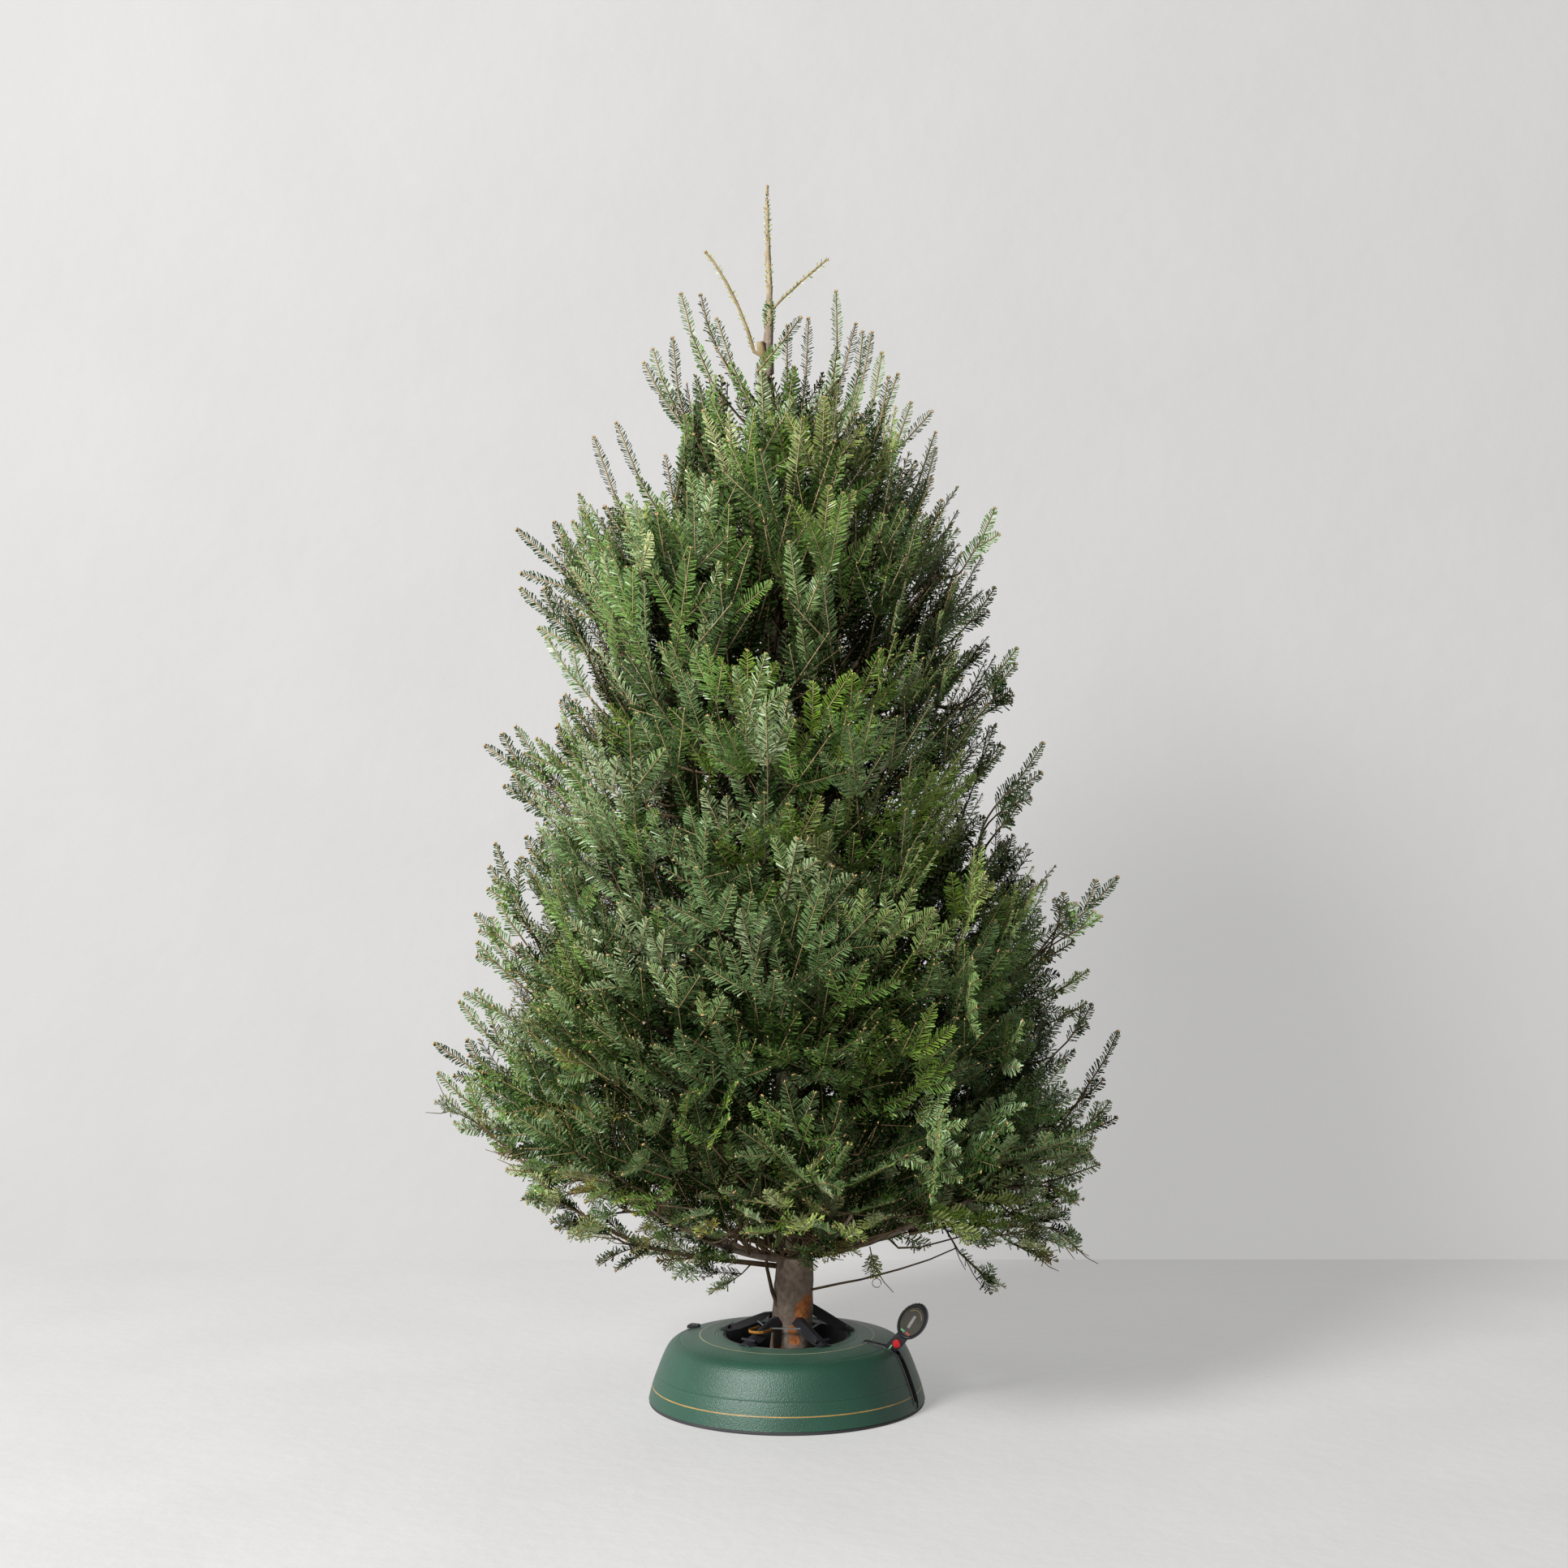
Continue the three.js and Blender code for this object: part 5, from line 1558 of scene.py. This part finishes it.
def shell_look():
    made, tree, shader = new_material("green_plastic", 0.42, specular=0.5)
    green = two_tone(tree, "294f3f", "234537", 7.0, 0.8)
    dusty = two_tone(tree, "4c6456", "3c5a4a", 20.0, 0.8)
    gold = two_tone(tree, "a8884c", "8c7040", 40.0, 0.8)
    faded = two_tone(tree, "9c9876", "86866a", 40.0, 0.8)
    # Painted shade for the crease of the side.
    shadow = linear("14281f")
    colour = blend(tree, height_fade(tree, 0.103, 0.113, 0.6), green, dusty)
    for radius, high, paint in ((0.2297, 0.029, gold), (0.1485, 0.112, faded), (0.2225, 0.0505, shadow)):
        line = place_group(tree, RING_LINE, Radius=radius, Height=high, Half=LINE_HALF)
        colour = blend(tree, line.outputs["Mask"], colour, paint)
    dress(tree, shader, colour, (420.0, 0.0009))
    return made


add_solid("shell_skin", bm, shell_look(), ["stand_shell"])

# %% [markdown]
# ## Base, tank and claws
#
# Under the shell is a flat black disc, and inside it the tank that holds the water. Both are turned too.
# The five claws are plates that lie folded over the well like a roof, wide below and narrow along the
# ridge. Each is a flat outline extruded to its width, with the ridge squeezed together and the edges
# bevelled. Their tips press on the trunk at different heights.

# %% Base and tank
black_look = toned("black_plastic", "1b1b1f", "24242a", 25, 0.7, 0.36, grain=(900, 0.0003))
base_look = toned("base_plastic", "363437", "2a292c", 12, 0.7, 0.7, grain=(300, 0.0005))

bm = bmesh.new()
turn_profile(bm, [
    (0, 0), (0.2325, 0), (0.2343, 0.0006), (0.235, 0.0022), (0.235, 0.0045), (0.2342, 0.006), (0, 0.006),
])
add_solid("base_disc", bm, base_look, ["stand_base"])

bm = bmesh.new()
turn_profile(bm, [
    (0, 0.0063), (0.098, 0.0063), (0.1065, 0.105), (0.1078, 0.1105), (0.1068, 0.112), (0.1050, 0.1118),
    (0.1040, 0.109), (0.0950, 0.020), (0.0920, 0.0157), (0, 0.0157),
])
add_solid("tank_wall", bm, black_look, ["water_tank"])

# %% Claws
CLAWS = 5
CLAW_TURN = math.radians(16)
CLAW_HALF = 0.013
CLAW_RIDGE_SHARE = 0.35
CLAW_HINGE_HEIGHT = 0.1133
CLAW_RISES = (1.0, 0.75, 0.65, 0.62, 0.66)
CLAW_UNDERSIDE = [
    (0.118, 0.1133), (0.098, 0.1133), (0.080, 0.1200), (0.060, 0.1335), (0.044, 0.1440), (0.028, 0.1520),
]
CLAW_RIDGE = [(0.028, 0.168), (0.042, 0.165), (0.066, 0.150), (0.092, 0.133), (0.118, 0.117)]
CLAW_AXLE = (0.104, 0.1205)
AXLE_RINGS = ((-0.0148, 0.002), (-0.0142, 0.0027), (0.0142, 0.0027), (0.0148, 0.002))


def disc_matrix(place, height, radius):
    """Places a unit circle flat at a place and a height of the local frame."""
    return Matrix.Translation((place[0], place[1], height)) @ Matrix.Scale(radius, 4)


def radial_frame(turn):
    """Local X runs out from the axis, local Y is up, and local Z is sideways."""
    out = Vector((math.cos(turn), math.sin(turn), 0))
    aside = Vector((math.sin(turn), -math.cos(turn), 0))
    frame_matrix = Matrix.Identity(4)
    for column, axis in enumerate((out, Vector((0, 0, 1)), aside)):
        for row in range(3):
            frame_matrix[row][column] = axis[row]
    return frame_matrix


def add_plate(bm, outline, low, high, bevel=0.0008, shape=None):
    """A flat outline extruded from low to high, with bevelled edges. Its corners are returned."""
    before = set(bm.verts)
    face = bm.faces.new([bm.verts.new((x, y, low)) for x, y in outline])
    grown = bmesh.ops.extrude_face_region(bm, geom=[face])["geom"]
    raised = [g for g in grown if isinstance(g, bmesh.types.BMVert)]
    bmesh.ops.translate(bm, vec=(0, 0, high - low), verts=raised)
    fresh = [v for v in bm.verts if v not in before]
    if shape:
        shape(fresh)
    edges = list({e for v in fresh for e in v.link_edges})
    rounding = dict(affect="EDGES", segments=2, profile=0.5, material=-1, clamp_overlap=True)
    bmesh.ops.bevel(bm, geom=edges, offset=bevel, **rounding)
    return [v for v in bm.verts if v not in before]


def squeeze_ridge(verts):
    """Narrows a claw along its ridge."""
    for v in verts:
        if any(math.hypot(v.co.x - x, v.co.y - y) < 1e-5 for x, y in CLAW_RIDGE):
            v.co.z *= CLAW_RIDGE_SHARE


def press_down(verts, share):
    """Lets a claw's tip sink towards its hinge."""
    for v in verts:
        v.co.y = CLAW_HINGE_HEIGHT + (v.co.y - CLAW_HINGE_HEIGHT) * share


bm = bmesh.new()
for i in range(CLAWS):
    frame_matrix = radial_frame(CLAW_TURN + 2 * math.pi * i / CLAWS)
    verts = add_plate(bm, CLAW_UNDERSIDE + CLAW_RIDGE, -CLAW_HALF, CLAW_HALF, 0.0009, squeeze_ridge)
    press_down(verts, CLAW_RISES[i])
    before = set(bm.verts)
    add_rings(bm, [disc_matrix(CLAW_AXLE, z, r) for z, r in AXLE_RINGS], 12)
    verts += [v for v in bm.verts if v not in before]
    bmesh.ops.transform(bm, matrix=frame_matrix, verts=verts)
add_solid("claws", bm, black_look, [f"claw_{i + 1}" for i in range(CLAWS)])

# %% [markdown]
# A steel cable runs round through the claws and pulls them in together. It is laid from three strands, so
# three thin tubes wind about the same five-sided path. A short loop of gold cord is tied round the claw
# at the front left.

# %% Cable
CABLE_HEIGHT = 0.133
CABLE_RADIUS = 0.062
STRAND_RADIUS = 0.00085
STRAND_LAY = 0.011
CABLE_STEP = 0.0012


def claw_corner(i):
    turn = CLAW_TURN + 2 * math.pi * i / CLAWS
    middle = axis_at(CABLE_HEIGHT) / 2
    return np.array((middle + CABLE_RADIUS * math.cos(turn), CABLE_RADIUS * math.sin(turn), CABLE_HEIGHT))


bm = bmesh.new()
for i in range(CLAWS):
    start, end = claw_corner(i), claw_corner(i + 1)
    side_length = np.linalg.norm(end - start)
    aside = unit(np.cross(UP, end - start))
    t = np.linspace(0, 1, int(side_length / CABLE_STEP))
    for strand in range(3):
        turn = 2 * math.pi * (t * side_length / STRAND_LAY + strand / 3)
        offset = np.cos(turn)[:, None] * UP + np.sin(turn)[:, None] * aside
        places = start + (end - start) * t[:, None] + offset * STRAND_RADIUS
        add_limb(bm, places, [STRAND_RADIUS] * len(t), 6)
steel_look = toned("steel_cable", "c4c6ca", "8e9094", 300, 0.7, 0.32, grain=(900, 0.0002), metallic=0.9)
add_solid("cable_strands", bm, steel_look, ["clamp_cable"])

# Half of the cord's loop, each place with its distance from the stand's middle and how far aside it lies.
CORD_HALF = [(0.058, 0.0145), (0.070, 0.0150), (0.0845, 0.0140), (0.0925, 0.0075)]
CORD_RADIUS = 0.0007

cord = radial_frame(CLAW_TURN + 2 * math.pi * 3 / CLAWS)
path = smooth_line(np.array([*((x, -y) for x, y in CORD_HALF), (0.0945, 0), *CORD_HALF[::-1]]), 0.003)
bm = bmesh.new()
for rise in (-0.0016, 0.0, 0.0016):
    heights = [CABLE_HEIGHT + rise + 0.001 * math.sin(60 * out) for out, _ in path]
    places = [np.array(cord @ Vector((out, height, aside))) for (out, aside), height in zip(path, heights)]
    add_limb(bm, places, [CORD_RADIUS] * len(places), 6)
cord_look = toned("gold_cord", "b9812f", "8a5a20", 220, 0.8, 0.6, grain=(900, 0.0003))
add_solid("cord_loop", bm, cord_look, ["clamp_cable"])

# %% [markdown]
# ## The foot lever
#
# The lever stands up in its slot. A thick oval paddle, with a raised rim to grip and a dark face, sits on
# a flat arm, and a red release button sits in the neck. The paddle is a stack of ellipses, extruded one
# from the next as the trunk was: out to the rim, over it, and down to the sunk face. Its label is left
# bare.

# %% Lever
PADDLE_OUT = 0.227
PADDLE_HEIGHT = 0.153
PADDLE_RISE = math.radians(57)
PADDLE_HALF = (0.0335, 0.023)
ARM_HALF = 0.004
HUB = (0.166, 0.0263, 0.020)
ARM = [(0.157, 0.0263), (0.175, 0.0223), (0.197, 0.100), (0.211, 0.112), (0.225, 0.132), (0.209, 0.142),
       (0.191, 0.122), (0.182, 0.112)]
LEVER_FRAME = radial_frame(LEVER_TURN)


def paddle_matrix(share, height):
    """An ellipse of the paddle, at a share of its size and a height over its middle plane."""
    place = Matrix.Translation((PADDLE_OUT, PADDLE_HEIGHT, height)) @ Matrix.Rotation(PADDLE_RISE, 4, "Z")
    return place @ Matrix.Diagonal((PADDLE_HALF[0] * share, PADDLE_HALF[1] * share, 1, 1))


def lever_piece(name, bm, look, node):
    bmesh.ops.transform(bm, matrix=LEVER_FRAME, verts=bm.verts)
    add_solid(name, bm, look, [node])


bm = bmesh.new()
sections = [(0.90, -0.006), (0.97, -0.0054), (1.0, -0.0038), (1.0, 0.0036), (0.985, 0.0052), (0.95, 0.006),
            (0.87, 0.006), (0.835, 0.0052), (0.815, 0.0036)]
add_rings(bm, [paddle_matrix(share, height) for share, height in sections], 96)
GRIP_START, GRIP_END = math.radians(10), math.radians(85)
for v in bm.verts:
    local = paddle_matrix(1, 0).inverted() @ v.co
    turn = math.atan2(local.y, local.x)
    if GRIP_START < turn < GRIP_END and math.hypot(local.x, local.y) > 0.96 and math.sin(turn * 30) > 0:
        v.co -= (v.co - Vector((PADDLE_OUT, PADDLE_HEIGHT, v.co.z))) * 0.035
add_plate(bm, ARM, -ARM_HALF, ARM_HALF)
add_rings(bm, [disc_matrix(HUB, z, HUB[2]) for z in (-ARM_HALF, ARM_HALF)], 48)
lever_piece("lever_body", bm, black_look, "foot_lever")

face_look = toned("grey_face", "565349", "4a4841", 60, 0.7, 0.5, grain=(900, 0.0002))
bm = bmesh.new()
add_rings(bm, [paddle_matrix(0.80, 0.0030), paddle_matrix(0.80, 0.0040), paddle_matrix(0.78, 0.0042)], 64)
lever_piece("paddle_face", bm, face_look, "foot_lever")

# %% [markdown]
# On the face are a thin gold arc, a bare label and two small windows, green for locked and red for open.
# Each is a thin raised bar, and the arc is a round line swept along part of an ellipse.

# %% Marks and button
def along_paddle(along_axis, across):
    """A place on the paddle's face, by shares of its half length and half width."""
    spot = paddle_matrix(1, 0) @ Vector((along_axis, across, 0))
    return spot.x, spot.y


def bar(name, start, end, left, right, look):
    """A raised bar, from start to end along the paddle and from left to right across it."""
    corners = [(start, left), (end, left), (end, right), (start, right)]
    bm = bmesh.new()
    add_plate(bm, [along_paddle(a, b) for a, b in corners], 0.0038, 0.0047, 0.0002)
    lever_piece(name, bm, look, "foot_lever")


gold_look = toned("gold_paint", "c9b27a", "a98f52", 80, 0.7, 0.4)
label_look = toned("bare_label", "b9b7b2", "a7a5a0", 80, 0.7, 0.5)
green_look = toned("green_window", "8fd0a0", "6cb884", 80, 0.7, 0.3)
window_look = toned("red_window", "d86a60", "c24a44", 80, 0.7, 0.3)
bar("lever_label", -0.38, 0.34, -0.10, 0.10, label_look)
bar("green_window", -0.70, -0.60, 0.06, 0.40, green_look)
bar("red_window", -0.70, -0.60, -0.38, -0.02, window_look)
bm = bmesh.new()
arc = [along_paddle(0.64 * math.cos(t), 0.64 * math.sin(t)) for t in np.linspace(-1.0, 0.9, 24)]
add_limb(bm, [np.array((x, y, 0.0042)) for x, y in arc], [0.0006] * len(arc), 8)
lever_piece("lever_arc", bm, gold_look, "foot_lever")

BUTTON = (0.2005, 0.1145)
BUTTON_RADIUS = 0.007
red_look = toned("red_plastic", "c81f28", "b0161f", 90, 0.6, 0.3, grain=(900, 0.0001))
bm = bmesh.new()
profile = [(1.0, 0.0043), (1.0, 0.0078), (0.94, 0.0086), (0.84, 0.0088), (0.76, 0.0082), (0.3, 0.0086)]
add_rings(bm, [disc_matrix(BUTTON, height, BUTTON_RADIUS * share) for share, height in profile], 48)
lever_piece("button_cap", bm, red_look, "lever_button")
bm = bmesh.new()
tab = [(0.1855, 0.1045), (0.1872, 0.1032), (0.1925, 0.1105), (0.1908, 0.1118)]
add_plate(bm, tab, 0.0038, 0.0052, 0.0002)
lever_piece("green_tab", bm, green_look, "foot_lever")

# %% [markdown]
# Black plastic lines the slot: two cheeks beside the lever, a floor under it, and a narrow trim that
# stands a little proud of the shell on both sides. A small black catch sits on the shoulder at the left.

# %% Slot lining
LINING = [(0.1403, 0.088), (0.1403, 0.111), (0.181, 0.105), (0.194, 0.0995), (0.203, 0.0905), (0.2215, 0.050),
          (0.2315, 0.020), (0.2333, 0.0083), (0.205, 0.0083), (0.190, 0.080)]
FLOOR = [(0.2045, 0.018), (0.2312, 0.018), (0.2333, 0.0083), (0.205, 0.0083)]
bm = bmesh.new()
for low, high in ((-0.0077, -0.0055), (0.0055, 0.0077)):
    add_plate(bm, LINING, low, high, 0.0003)
add_plate(bm, FLOOR, -0.0055, 0.0055, 0.0003)
lever_piece("slot_cheeks", bm, black_look, "slot_lining")

# %% Slot trim
TRIM_WIDE = 0.0036
TRIM_PROUD = 0.0009
TRIM_DEEP = 0.0030

line = smooth_line(SHELL_OUTSIDE, 0.008)
line = line[(line[:, 0] > SLOT_START) & (line[:, 1] > SLOT_FOOT)]
ahead = np.gradient(line, axis=0)
ahead /= np.linalg.norm(ahead, axis=1)[:, None]
outside = np.stack([ahead[:, 1], -ahead[:, 0]], axis=1)
outline = [*(line + outside * TRIM_PROUD), *(line - outside * TRIM_DEEP)[::-1]]
bm = bmesh.new()
for low in (-SLOT_HALF - TRIM_WIDE, SLOT_HALF):
    add_plate(bm, outline, low, low + TRIM_WIDE, 0.0004)
lever_piece("slot_trim", bm, black_look, "slot_lining")

# %% Shoulder catch
CATCH = [(0.167, 0.1093), (0.190, 0.1052), (0.190, 0.110), (0.184, 0.114), (0.168, 0.114)]
bm = bmesh.new()
add_plate(bm, CATCH, -0.0045, 0.0045, 0.0009)
bmesh.ops.transform(bm, matrix=radial_frame(math.radians(155)), verts=bm.verts)
add_solid("catch_block", bm, black_look, ["shoulder_catch"])
